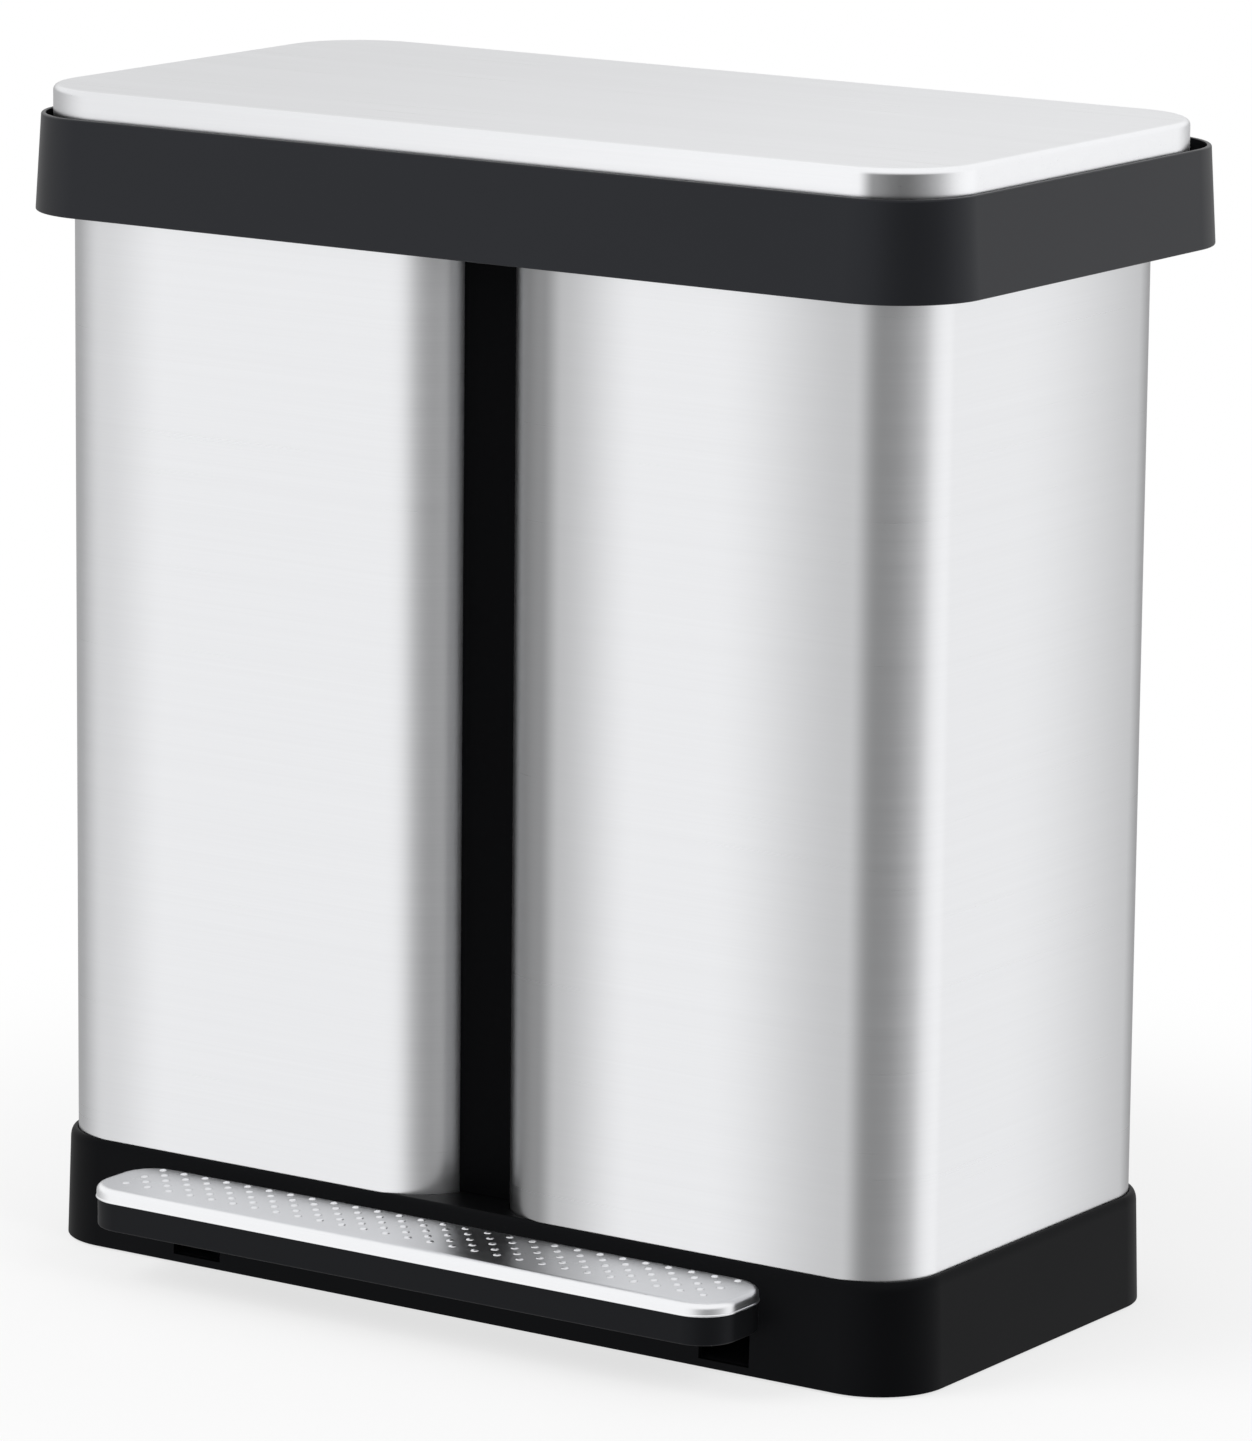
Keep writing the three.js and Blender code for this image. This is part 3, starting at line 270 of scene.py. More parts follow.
def tread_painted_shade(x, y, z):
    """Painted shade: the flat between the domes is darker. The domes and the rolled front keep their full tone."""
    flat = z.over(TREADLE_TOP - 0.7, TREADLE_TOP - 0.05) * z.over(TREADLE_TOP + 0.6, TREADLE_TOP + 0.1)
    return 1 - flat * 0.20


LEVEL_GRAIN = (5, 5, 1100)
steel_left = brushed_steel("steel_left_column", LEVEL_GRAIN, 0.30, 0.92, left_column)
steel_right = brushed_steel("steel_right_column", LEVEL_GRAIN, 0.30, 0.92, right_column)
# The lid and treadle sheets are painted lighter than the columns (1.0 against 0.92): painted light, for their
# brighter reflections.
steel_lid = brushed_steel("steel_lid", (5, 900, 900), 0.30, 1.0, lid_painted_shade)
steel_treadle = brushed_steel("steel_treadle", (6, 800, 800), 0.30, 1.0, tread_painted_shade)
print("steel finishes:", [m.name for m in (steel_left, steel_right, steel_lid, steel_treadle)])

# %% [markdown]
# ## Moulded plastic, zinc and rubber
#
# The black parts are injection moulded. Their skin has a satin texture like very fine leather, which a noise with
# cells under a millimetre gives as a bump, and a slow unevenness in the gloss. The pins and levers inside are zinc
# plated, with a cloudy bloom, and the feet and bumpers are rubber with a dusty, dull skin.

# %% Plastic, zinc and rubber finishes
PLASTIC_IOR = 1.46
PLASTIC_TINT = (0.86, 0.89, 1.0, 1)


def moulded(name, dark, light, roughness, cell=1800, depth=0.05, shine=0.5):
    """Dark and light bound the colour. Cell is skin cells per metre and depth their depth in millimetres."""
    constants = {"IOR": PLASTIC_IOR, "Specular IOR Level": shine, "Specular Tint": PLASTIC_TINT}
    recipe = Recipe(name, constants)
    coordinates, _ = recipe.place()
    skin = recipe.grain(coordinates, (cell,) * 3, 2.0)
    flow = recipe.grain(coordinates, (9, 9, 14), 2.0)
    recipe.feed("Base Color", recipe.tone(dark, light, flow))
    recipe.feed("Roughness", flow * 0.10 + skin * 0.06 + (roughness - 0.08))
    recipe.bump(skin, 0.35, depth * MM)
    return recipe.material


black_satin = moulded("black_satin", (0.0035, 0.0038, 0.0045), (0.0065, 0.007, 0.008), 0.33, shine=0.38)
black_matt = moulded("black_matt", (0.0032, 0.0034, 0.0038), (0.0055, 0.0058, 0.0064), 0.42, shine=0.16)
black_base = moulded("black_base", (0.0018, 0.0019, 0.0021), (0.0032, 0.0033, 0.0036), 0.42, shine=0.07)
# The front spine's black is darker than the rest: painted shade in the gap between the columns.
black_painted_shade = moulded("black_painted_shade", (0.0006, 0.0006, 0.0007), (0.0012, 0.0012, 0.0013), 0.6, shine=0.05)
black_inner = moulded("black_inner", (0.004, 0.0042, 0.0048), (0.009, 0.0095, 0.0105), 0.45)
bucket_grey = moulded("bucket_grey", (0.045, 0.047, 0.05), (0.06, 0.062, 0.066), 0.42, cell=900)
linkage_grey = moulded("linkage_grey", (0.05, 0.052, 0.055), (0.075, 0.078, 0.082), 0.5, cell=900)
rubber = moulded("rubber", (0.008, 0.008, 0.008), (0.02, 0.02, 0.019), 0.8, cell=1200, depth=0.12)


def zinc_plate(name):
    recipe = Recipe(name, {"Metallic": 1.0})
    coordinates, _ = recipe.place()
    bloom = recipe.grain(coordinates, (120, 120, 120), 4.0)
    fine = recipe.grain(coordinates, (1500, 1500, 1500), 2.0)
    recipe.feed("Base Color", recipe.tone((0.42, 0.43, 0.45), (0.72, 0.73, 0.74), bloom))
    recipe.feed("Roughness", bloom * 0.25 + fine * 0.05 + 0.22)
    recipe.bump(fine, 0.2, 0.03 * MM)
    return recipe.material


zinc = zinc_plate("zinc_plate")
blacks = (black_satin, black_matt, black_base, black_painted_shade, black_inner)
print("other finishes:", [m.name for m in (*blacks, bucket_grey, linkage_grey, rubber, zinc)])

# %% [markdown]
# ## Shapes that follow a rounded outline
#
# Nearly every large piece here is a tray, a rim or a cap whose plan is a rectangle with round corners. Such a
# piece is one flat face that is extruded again and again: up its outside, over its rim and down its inside. Each
# step has a height and an inset, which is how far the wall then stands inside the outline.

# %% Outlines and sweeps
SIDES = (("left", -1), ("right", 1))
MIDDLE = 10.0  # the columns' middle along Y, in millimetres
PAIR_HALF, PAIR_HALF_DEPTH = 280.5, 132.7  # the two columns' common outline


class Outline:
    """A rectangle with round corners, seen from above. Its sizes are given in millimetres and kept in metres."""

    def __init__(self, width, depth, radius, x=0.0, y=MIDDLE):
        self.radius = radius * MM
        self.half = Vector((width * MM / 2 - self.radius, depth * MM / 2 - self.radius))
        self.centre = Vector((x * MM, y * MM))

    def put(self, verts, height, inset):
        """Sets verts at a height, with every side moved in by the inset."""
        for vert in verts:
            away = vert.co.xy - self.centre
            corner = Vector((max(-h, min(h, a)) for a, h in zip(away, self.half)))
            outward = (away - corner).normalized() * (self.radius - inset)
            vert.co.xy = self.centre + corner + outward
            vert.co.z = height

    def face(self, shape, segments):
        """Adds the outline's face to a bmesh: a square with bevelled corners."""
        made = bmesh.ops.create_grid(shape, x_segments=1, y_segments=1, size=0.5)["verts"]
        size = (self.half + Vector((self.radius, self.radius))) * 2
        bmesh.ops.scale(shape, vec=(size.x, size.y, 1), verts=made)
        bmesh.ops.translate(shape, vec=(*self.centre, 0), verts=made)
        bmesh.ops.bevel(
            shape,
            geom=made,
            offset=self.radius,
            offset_type="OFFSET",
            segments=segments,
            profile=0.5,
            affect="VERTICES",
            material=-1,
        )
        return max(shape.faces, key=lambda f: len(f.verts))


def curve(start, end, centre, steps):
    """Levels on a quarter ellipse from start to end. Each is (height, inset). Centre is the ellipse's middle."""
    tall = max(abs(start[0] - centre[0]), abs(end[0] - centre[0]))
    wide = max(abs(start[1] - centre[1]), abs(end[1] - centre[1]))
    turn = [math.atan2((p[0] - centre[0]) / tall, (p[1] - centre[1]) / wide) for p in (start, end)]
    swing = (turn[1] - turn[0] + math.pi) % (2 * math.pi) - math.pi
    angles = [turn[0] + swing * i / steps for i in range(steps + 1)]
    return [(centre[0] + tall * math.sin(a), centre[1] + wide * math.cos(a)) for a in angles]


def sweep(outline, levels, segments=16):
    """A closed solid: the outline's face, extruded through levels of (height, inset) in millimetres."""
    shape = bmesh.new()
    cap = outline.face(shape, segments)
    outline.put(cap.verts, levels[0][0] * MM, levels[0][1] * MM)
    for step, (height, inset) in enumerate(levels[1:]):
        grown = bmesh.ops.extrude_face_region(shape, geom=[cap])["geom"]
        if step:
            bmesh.ops.delete(shape, geom=[cap], context="FACES_ONLY")
        cap = next(g for g in grown if isinstance(g, bmesh.types.BMFace))
        outline.put(cap.verts, height * MM, inset * MM)
    bmesh.ops.recalc_face_normals(shape, faces=shape.faces)
    return shape


print("levels of a 3 mm rounding:", [tuple(round(v, 2) for v in p) for p in curve((0, 0), (3, 3), (0, 3), 3)])

# %% [markdown]
# ## Joining and cutting
#
# Openings, ears and posts are joined to a swept body or cut from it. The Boolean modifier does this on closed
# solids, and its result is stored at once, so that no helper shape stays in the scene.

# %% Booleans and finished pieces
def helper(shape, name="helper"):
    mesh = bpy.data.meshes.new(name)
    shape.to_mesh(mesh)
    shape.free()
    made = bpy.data.objects.new(name, mesh)
    scene.collection.objects.link(made)
    return made


def combine(body, steps):
    """Steps are (operation, shape) pairs, done one after the other. Gives one bmesh."""
    base = helper(body, "base")
    tools = []
    for operation, shape in steps:
        tool = helper(shape)
        tools.append(tool)
        modifier = base.modifiers.new(operation, "BOOLEAN")
        modifier.operation = operation
        modifier.solver = "EXACT"
        modifier.object = tool
    bpy.context.view_layer.update()
    done = bpy.data.meshes.new_from_object(base.evaluated_get(bpy.context.evaluated_depsgraph_get()))
    result = bmesh.new()
    result.from_mesh(done)
    for spare in (base, *tools):
        bpy.data.meshes.remove(spare.data)
    bpy.data.meshes.remove(done)
    bmesh.ops.remove_doubles(result, verts=result.verts, dist=0.002 * MM)
    return result


CREASE = math.radians(28)  # edges sharper than this stay sharp


def piece(name, shape, body, material, replaced):
    """Turns a bmesh into a finished piece that rides on a body, in place of the replaced nodes."""
    mesh = bpy.data.meshes.new(name)
    shape.to_mesh(mesh)
    shape.free()
    mesh.materials.append(material)
    mesh.shade_smooth()
    mesh.set_sharp_from_angle(angle=CREASE)
    made = bpy.data.objects.new(name, mesh)
    scene.collection.objects.link(made)
    flats = made.modifiers.new("flat_faces_stay_flat", "WEIGHTED_NORMAL")
    flats.keep_sharp = True
    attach(made, body)
    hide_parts(*replaced)
    print(name, len(mesh.polygons), "faces on", body)
    return made


def box_shape(low, high):
    """A box from its lowest to its highest corner, in millimetres."""
    shape = bmesh.new()
    made = bmesh.ops.create_cube(shape, size=1)["verts"]
    low, high = Vector(low) * MM, Vector(high) * MM
    bmesh.ops.scale(shape, vec=high - low, verts=made)
    bmesh.ops.translate(shape, vec=(low + high) / 2, verts=made)
    return shape


def bar_shape(radius, start, end, segments=32):
    """A round bar between two points, in millimetres."""
    shape = bmesh.new()
    start, end = Vector(start) * MM, Vector(end) * MM
    turn = (end - start).to_track_quat("Z", "Y").to_matrix().to_4x4()
    bmesh.ops.create_cone(
        shape,
        cap_ends=True,
        segments=segments,
        radius1=radius * MM,
        radius2=radius * MM,
        depth=(end - start).length,
        matrix=Matrix.Translation((start + end) / 2) @ turn,
    )
    return shape


def plate_shape(points, x0, x1):
    """A plate across X: points are (y, z) of its outline, in millimetres."""
    shape = bmesh.new()
    verts = [shape.verts.new(Vector((x0, y, z)) * MM) for y, z in points]
    face = shape.faces.new(verts)
    grown = bmesh.ops.extrude_face_region(shape, geom=[face])["geom"]
    moved = [g for g in grown if isinstance(g, bmesh.types.BMVert)]
    bmesh.ops.translate(shape, vec=((x1 - x0) * MM, 0, 0), verts=moved)
    bmesh.ops.recalc_face_normals(shape, faces=shape.faces)
    return shape


print("helpers ready; the columns' middle lies at y =", MIDDLE, "mm")

# %% [markdown]
# ## The two steel columns
#
# Each column is one steel sheet, bent round from one inner corner to the other and open towards the middle of the
# bin. A tube is extruded from the outline, cut off where the sheet ends, and given its 1 mm wall.

# %% Columns
SHEET = 1.0  # thickness
SHEET_END = 17.35  # distance from the bin's middle to each inner edge
SHELL_WIDTH, SHELL_DEPTH, SHELL_RADIUS = 265.5, 265.4, 39.0
SHELL_BOTTOM, SHELL_TOP = 55.3, 605.7


def column(sign):
    outline = Outline(SHELL_WIDTH, SHELL_DEPTH, SHELL_RADIUS, sign * COLUMN)
    shape = sweep(outline, [(SHELL_BOTTOM, 0), (SHELL_TOP, 0)], segments=24)
    caps = [f for f in shape.faces if abs(f.normal.z) > 0.5]
    bmesh.ops.delete(shape, geom=caps, context="FACES")
    everything = [*shape.verts, *shape.edges, *shape.faces]
    bmesh.ops.bisect_plane(
        shape,
        geom=everything,
        plane_co=(sign * SHEET_END * MM, 0, 0),
        plane_no=(-sign, 0, 0),
        clear_outer=True,
    )
    bmesh.ops.recalc_face_normals(shape, faces=shape.faces)
    if sum(f.normal.x * sign for f in shape.faces if abs(f.normal.x) > 0.99) < 0:
        bmesh.ops.reverse_faces(shape, faces=shape.faces)
    bmesh.ops.solidify(shape, geom=shape.faces[:], thickness=SHEET * MM)
    bmesh.ops.recalc_face_normals(shape, faces=shape.faces)
    return shape


for side, sign in SIDES:
    steel = steel_left if sign < 0 else steel_right
    shell = column(sign)
    low = min(v.co.x for v in shell.verts) / MM
    high = max(v.co.x for v in shell.verts) / MM
    print("column spans x", round(low, 2), "to", round(high, 2))
    piece(f"column_{side}", shell, "cabinet", steel, [f"steel_shell_{side}"])

# %% [markdown]
# ## The lid
#
# A pressed steel cap: its top edge is rolled to a 3 mm radius and its skirt ends in a thin hem.

# %% Lid skin
LID_Y = 17.8
LID = Outline(585.0, 302.3, 50, y=LID_Y)
LID_TOP, LID_BOTTOM, LID_EDGE = 650.5, 633.0, 3.2
lid_levels = [
    (LID_TOP - SHEET, LID_EDGE + 1.0),
    *curve((LID_TOP - SHEET, LID_EDGE), (LID_TOP - LID_EDGE, SHEET), (LID_TOP - LID_EDGE, LID_EDGE), 4),
    (LID_BOTTOM + 0.3, SHEET),
    (LID_BOTTOM, SHEET - 0.25),
    (LID_BOTTOM, 0.25),
    (LID_BOTTOM + 0.3, 0),
    *curve((LID_TOP - LID_EDGE, 0), (LID_TOP, LID_EDGE), (LID_TOP - LID_EDGE, LID_EDGE), 8),
    (LID_TOP, LID_EDGE + 1.0),
]
piece("lid_top", sweep(LID, lid_levels, 24), "lid", steel_lid, ["lid_skin"])

# %% [markdown]
# ## The collar
#
# The black moulding between the columns and the lid. Its wall leans in a little towards the top, so that it comes
# out of its mould. Inside there is a ledge with one opening for each bucket, each with a raised lip, a socket that
# the columns' top edges stand in, posts for the lid's bumpers and four ears that hold the hinge pins.

# %% Collar
COLLAR = Outline(598.7, 329.4, 51, y=23.3)
COLLAR_BOTTOM, COLLAR_TOP = 581.8, 635.5
COLLAR_DRAFT, COLLAR_WALL = 3.35, 2.6
LEDGE_BOTTOM, LEDGE_TOP = 606.0, 609.0
HINGE_Y, HINGE_Z, HINGE_STATION = 158.65, 633.0, 150.0
HINGE_BOSS, HINGE_BORE = 5.0, 2.8
ROD_Y = 132.7
WAY_SIZE, WAY_RADIUS = 248.0, 34.0  # the opening over each bucket
LIP_SIZE, LIP_RADIUS, LIP_HEIGHT = 252.0, 36.0, 4.0
BUMPER_X, BUMPER_Y, BUMPER_POST, BUMPER_SEAT = PAIR_HALF * 0.72, -121.35, 7.0, 628.0
SOCKET_PLAY, SOCKET_OUTSIDE = 0.6, 2.6


def lean(z):
    """How far the collar's wall leans in at a height."""
    return COLLAR_DRAFT * (z - COLLAR_BOTTOM) / (COLLAR_TOP - COLLAR_BOTTOM)


rim = COLLAR_TOP
collar_levels = [
    (LEDGE_BOTTOM, COLLAR_WALL + lean(LEDGE_BOTTOM)),
    (COLLAR_BOTTOM + 0.6, COLLAR_WALL),
    *curve(
        (COLLAR_BOTTOM + 0.5, COLLAR_WALL),
        (COLLAR_BOTTOM, COLLAR_WALL - 0.5),
        (COLLAR_BOTTOM + 0.5, COLLAR_WALL - 0.5),
        2,
    ),
    *curve((COLLAR_BOTTOM, 0.8), (COLLAR_BOTTOM + 0.8, 0.04), (COLLAR_BOTTOM + 0.8, 0.8), 4),
    (rim - 1.3, lean(rim - 1.3)),
    *curve((rim - 1.2, lean(rim - 1.2)), (rim, lean(rim) + 1.2), (rim - 1.2, lean(rim) + 1.2), 6),
    *curve((rim, lean(rim) + 1.9), (rim - 0.6, lean(rim) + 2.55), (rim - 0.6, lean(rim) + 1.9), 3),
    (LEDGE_TOP + 1.0, COLLAR_WALL + lean(LEDGE_TOP)),
    (LEDGE_TOP, COLLAR_WALL + lean(LEDGE_TOP) + 1.0),
]


def opening(sign):
    outline = Outline(WAY_SIZE, WAY_SIZE - 0.1, WAY_RADIUS, sign * COLUMN)
    return sweep(outline, [(600, 0), (620, 0)], 12)


def socket_wall(grow, low, high):
    outline = Outline(2 * (PAIR_HALF + grow), 2 * (PAIR_HALF_DEPTH + grow), SHELL_RADIUS + grow)
    return sweep(outline, [(low, 0), (high, 0)], 16)


def hinge_ear(x0, x1):
    foot = [
        (HINGE_Y - 14, LEDGE_BOTTOM + 0.5),
        (HINGE_Y + 0.5, LEDGE_BOTTOM + 0.5),
        (HINGE_Y + 0.5, HINGE_Z),
        (HINGE_Y - 3.5, HINGE_Z + 3.5),
        (HINGE_Y - HINGE_BOSS, HINGE_Z),
    ]
    boss = bar_shape(HINGE_BOSS, (x0, HINGE_Y, HINGE_Z), (x1, HINGE_Y, HINGE_Z))
    return [("UNION", plate_shape(foot, x0, x1)), ("UNION", boss)]


def lip(sign):
    outline = Outline(LIP_SIZE, LIP_SIZE - 0.1, LIP_RADIUS, sign * COLUMN)
    top = LEDGE_TOP + LIP_HEIGHT
    return sweep(outline, [(LEDGE_BOTTOM - 1, 0.3), (LEDGE_BOTTOM - 0.7, 0), (top - 0.6, 0), (top, 0.6)], 12)


socket_inside = socket_wall(SOCKET_PLAY, 593.0, LEDGE_BOTTOM)
socket = combine(socket_wall(SOCKET_OUTSIDE, 594.0, LEDGE_BOTTOM + 0.5), [("DIFFERENCE", socket_inside)])
steps = [("UNION", socket)]
steps += [("UNION", lip(sign)) for _, sign in SIDES]
steps += [("DIFFERENCE", opening(sign)) for _, sign in SIDES]
steps += [("DIFFERENCE", box_shape((-12, ROD_Y - 12, 600), (12, HINGE_Y - 9, 615)))]
for _, sign in SIDES:
    x = sign * BUMPER_X
    post = bar_shape(BUMPER_POST, (x, BUMPER_Y, LEDGE_TOP - 1), (x, BUMPER_Y, BUMPER_SEAT))
    steps.append(("UNION", post))
for _, sign in SIDES:
    for ear in (-1, 1):
        near = sign * HINGE_STATION + ear * 6.3
        far = near + ear * 5
        steps += hinge_ear(min(near, far), max(near, far))
for _, sign in SIDES:
    middle = sign * HINGE_STATION
    bore = bar_shape(HINGE_BORE, (middle - 13, HINGE_Y, HINGE_Z), (middle + 13, HINGE_Y, HINGE_Z))
    steps.append(("DIFFERENCE", bore))
collar = combine(sweep(COLLAR, collar_levels, 24), steps)
piece("collar_moulding", collar, "cabinet", black_satin, ["collar"])

# %% [markdown]
# ## The base
#
# One black tray carries both columns. Its skirt ends in a soft lip, and each column stands in a shallow recess
# behind it. The treadle's arms come out through two slots in the front, and the lever through a hole in the deck.

# %% Base tray
BASE = Outline(572.2, 273.6, 41)
BASE_HEIGHT, BASE_CLEARANCE, BASE_WALL, DECK_TOP = 62.5, 1.0, 3.0, 55.0
LIP_START, LIP_END = (56.2, 1.72), (BASE_HEIGHT, 4.6)
RECESS_PLAY = 0.6
base_levels = [
    (52.0, BASE_WALL + 1.9),
    (BASE_CLEARANCE + 0.6, BASE_WALL),
    *curve(
        (BASE_CLEARANCE + 0.5, BASE_WALL),
        (BASE_CLEARANCE, BASE_WALL - 0.5),
        (BASE_CLEARANCE + 0.5, BASE_WALL - 0.5),
        2,
    ),
    *curve((BASE_CLEARANCE, 0.6), (BASE_CLEARANCE + 0.6, 0), (BASE_CLEARANCE + 0.6, 0.6), 3),
    *curve(LIP_START, LIP_END, (LIP_START[0], LIP_END[1]), 8),
    (BASE_HEIGHT, LIP_END[1] + 2),
]


def recess(sign):
    play = RECESS_PLAY
    outline = Outline(SHELL_WIDTH + 2 * play, SHELL_DEPTH + 2 * play, SHELL_RADIUS + play, sign * COLUMN)
    return sweep(outline, [(DECK_TOP, 0), (BASE_HEIGHT + 2, 0)], 16)


recesses = [("DIFFERENCE", recess(sign)) for _, sign in SIDES]
ARM_X, SLOT_HALF, SLOT_BOTTOM, SLOT_TOP = 175.0, 16.0, 5.5, 34.0
slots = []
for _, sign in SIDES:
    low = (sign * ARM_X - SLOT_HALF, -128, SLOT_BOTTOM)
    high = (sign * ARM_X + SLOT_HALF, -119, SLOT_TOP)
    slots.append(("DIFFERENCE", box_shape(low, high)))
way = [("DIFFERENCE", box_shape((-9, ROD_Y - 56, 50), (9, ROD_Y + 8.5, 64)))]
POST_RADIUS, SCREW_BORE = 5.0, 2.3
post_places = [(sign * x, y) for x, y in ((250.5, -82.7), (250.5, 112.7), (93.5, 117.7)) for sign in (-1, 1)]
posts = [("UNION", bar_shape(POST_RADIUS, (x, y, 5.8), (x, y, 54))) for x, y in post_places]
bores = [("DIFFERENCE", bar_shape(SCREW_BORE, (x, y, 5), (x, y, 19.5))) for x, y in post_places]
base = combine(sweep(BASE, base_levels, 24), recesses + posts + slots + way + bores)
piece("base_moulding", base, "cabinet", black_base, ["base_tray"])

# %% [markdown]
# ## The treadle
#
# A black moulded bar with a pressed steel top. The steel has five rows of small domes against slipping: the rows
# are 8.3 mm apart, the domes 14.6 mm, and each row is shifted by half a step. Its front is a plain rolled band.
# The photograph's columns don't mirror the treadle, so mirror rays pass through its two pieces.

# %% Treadle steel
STEEL_BOTTOM = 48.0
TREADLE = Outline(418, 59, 22, y=-158.5)
ROLL = 4.0
steel_levels = [
    (TREADLE_TOP - 1.2, 5.4),
    *curve((TREADLE_TOP - 1.2, 4.4), (TREADLE_TOP - ROLL, 1.6), (TREADLE_TOP - ROLL, 4.4), 4),
    (STEEL_BOTTOM, 1.5),
    (STEEL_BOTTOM, 0.2),
    (STEEL_BOTTOM + 0.2, 0.0),
    (STEEL_BOTTOM + 0.7, 0.05),
    (STEEL_BOTTOM + 1.1, 0.4),
    *curve((TREADLE_TOP - ROLL, 0.4), (TREADLE_TOP, 4.4), (TREADLE_TOP - ROLL, 4.4), 8),
    (TREADLE_TOP, 5.4),
]
tread = sweep(TREADLE, steel_levels, 16)
DOT_ROWS = (-137.0, -145.3, -153.6, -161.9, -170.2)
DOTS_IN_ROW, DOT_STEP, DOT_RADIUS, DOT_HEIGHT = 27, 14.64, 2.3, 0.9
dots = 0
for row, y in enumerate(DOT_ROWS):
    count = DOTS_IN_ROW - row % 2
    for i in range(count):
        x = (i - (count - 1) / 2) * DOT_STEP
        place = Matrix.Translation(Vector((x, y, TREADLE_TOP)) * MM)
        dome = bmesh.ops.create_uvsphere(tread, u_segments=10, v_segments=6, radius=DOT_RADIUS * MM, matrix=place)
        bmesh.ops.scale(
            tread,
            vec=(1, 1, DOT_HEIGHT / DOT_RADIUS),
            space=place.inverted(),
            verts=dome["verts"],
        )
        dots += 1
treadle_top = piece("treadle_top", tread, "treadle", steel_treadle, ["treadle_steel"])
print("domes:", dots)

# %% Treadle body
body_levels = [
    (51.3, 4.0),
    (32.3, 4.0),
    (32.0, 3.7),
    *curve((32.0, 2.2), (33.2, 1.0), (33.2, 2.2), 4),
    (47.4, 1.0),
    (47.7, 1.3),
    (47.7, 1.9),
    (51.2, 1.9),
    *curve((51.2, 1.9), (54.0, 4.9), (51.2, 4.9), 4),
    (54.0, 6.0),
]
ARM_HALF = 13.0
arm_screws = [(sign * ARM_X, y) for _, sign in SIDES for y in (-151.0, -136.0)]
blocks = [
    ("UNION", box_shape((sign * ARM_X - ARM_HALF, -158, 32), (sign * ARM_X + ARM_HALF, -131, 51.5)))
    for _, sign in SIDES
]
screw_holes = [("DIFFERENCE", bar_shape(SCREW_BORE, (x, y, 31), (x, y, 43))) for x, y in arm_screws]
treadle = combine(sweep(TREADLE, body_levels, 16), blocks + screw_holes)
treadle_bar = piece("treadle_bar", treadle, "treadle", black_matt, ["treadle_body"])
for unmirrored in (treadle_top, treadle_bar):
    unmirrored.visible_glossy = False

# %% [markdown]
# ## Under the lid
#
# The lid's liner is a black tray turned upside down, with lugs for the hinge pins and two plates that make the
# crank. The buckets are tapered, with a flat rim and two ears, and each has a bail handle that lies on the rim.

# %% Lid liner
LINER = Outline(582.4, 299.7, 48.7, y=LID_Y)
PANEL_BOTTOM, PANEL_TOP, LINER_BOTTOM = 642.0, 644.5, 634.0
liner_levels = [
    (PANEL_BOTTOM, 5.0),
    *curve((PANEL_BOTTOM, 4.5), (PANEL_BOTTOM - 1.5, 3.0), (PANEL_BOTTOM - 1.5, 4.5), 3),
    (LINER_BOTTOM + 0.5, 3.0),
    (LINER_BOTTOM, 2.5),
    (LINER_BOTTOM, 0.5),
    (LINER_BOTTOM + 0.5, 0),
    (646.3, 0),
    (649.2, 4.2),
    (649.2, 5.0),
    (PANEL_TOP, 5.0),
    (PANEL_TOP, 6.0),
]
CRANK_Y, CRANK_Z, CRANK_EYE = 136.14, 614.11, 5.5
half_turn = [math.pi * (1 + i / 12) for i in range(13)]
crank_outline = [
    (CRANK_Y - CRANK_EYE, PANEL_BOTTOM + 1),
    *[(CRANK_Y + CRANK_EYE * math.cos(a), CRANK_Z + CRANK_EYE * math.sin(a)) for a in half_turn],
    (HINGE_Y - HINGE_BOSS, PANEL_BOTTOM + 1),
]
steps = []
for _, sign in SIDES:
    x0, x1 = sign * HINGE_STATION - 6, sign * HINGE_STATION + 6
    lug = box_shape((x0, HINGE_Y - HINGE_BOSS, HINGE_Z), (x1, HINGE_Y + HINGE_BOSS, PANEL_BOTTOM + 1))
    boss = bar_shape(HINGE_BOSS, (x0, HINGE_Y, HINGE_Z), (x1, HINGE_Y, HINGE_Z))
    steps += [("UNION", lug), ("UNION", boss)]
for x0, x1 in ((-7.2, -3.2), (3.2, 7.2)):
    steps.append(("UNION", plate_shape(crank_outline, x0, x1)))
for _, sign in SIDES:
    for ear in (-1, 1):
        near = sign * HINGE_STATION + ear * 6
        far = near + ear * 9
        notch = box_shape((min(near, far), HINGE_Y + 2, LINER_BOTTOM - 1), (max(near, far), 168.95, HINGE_Z + 6))
        steps.append(("DIFFERENCE", notch))
    middle = sign * HINGE_STATION
    bore = bar_shape(HINGE_BORE, (middle - 12, HINGE_Y, HINGE_Z), (middle + 12, HINGE_Y, HINGE_Z))
    steps.append(("DIFFERENCE", bore))
steps.append(("DIFFERENCE", bar_shape(HINGE_BORE, (-20, CRANK_Y, CRANK_Z), (20, CRANK_Y, CRANK_Z))))
liner = combine(sweep(LINER, liner_levels, 20), steps)
piece("lid_underside", liner, "lid", black_inner, ["lid_liner"])

# %% Buckets and handles
BUCKET_TOP = 596.0
PIVOT_Z, PIVOT_BORE, PIVOT_RADIUS = BUCKET_TOP + 2.8, 2.8, 2.5
bucket_levels = [
    (SHELL_BOTTOM, 22.0),
    *curve((SHELL_BOTTOM, 20.5), (SHELL_BOTTOM + 3.5, 17.0), (SHELL_BOTTOM + 3.5, 20.5), 4),
    (593.2, 6.0),
    (593.5, 5.7),
    (593.5, 0.5),
    (594.0, 0),
    *curve((595.2, 0), (BUCKET_TOP, 0.8), (595.2, 0.8), 3),
    *curve((BUCKET_TOP, 7.2), (595.2, 8.0), (595.2, 7.2), 3),
    (61.5, 19.0),
    *curve((61.5, 19.0), (58.3, 22.2), (61.5, 22.2), 4),
    (58.3, 24.0),
]
handle_levels = [(596.3, 0.8), (597.1, 0), (600.3, 0), (601.0, 0.4), (601.3, 1.2)]
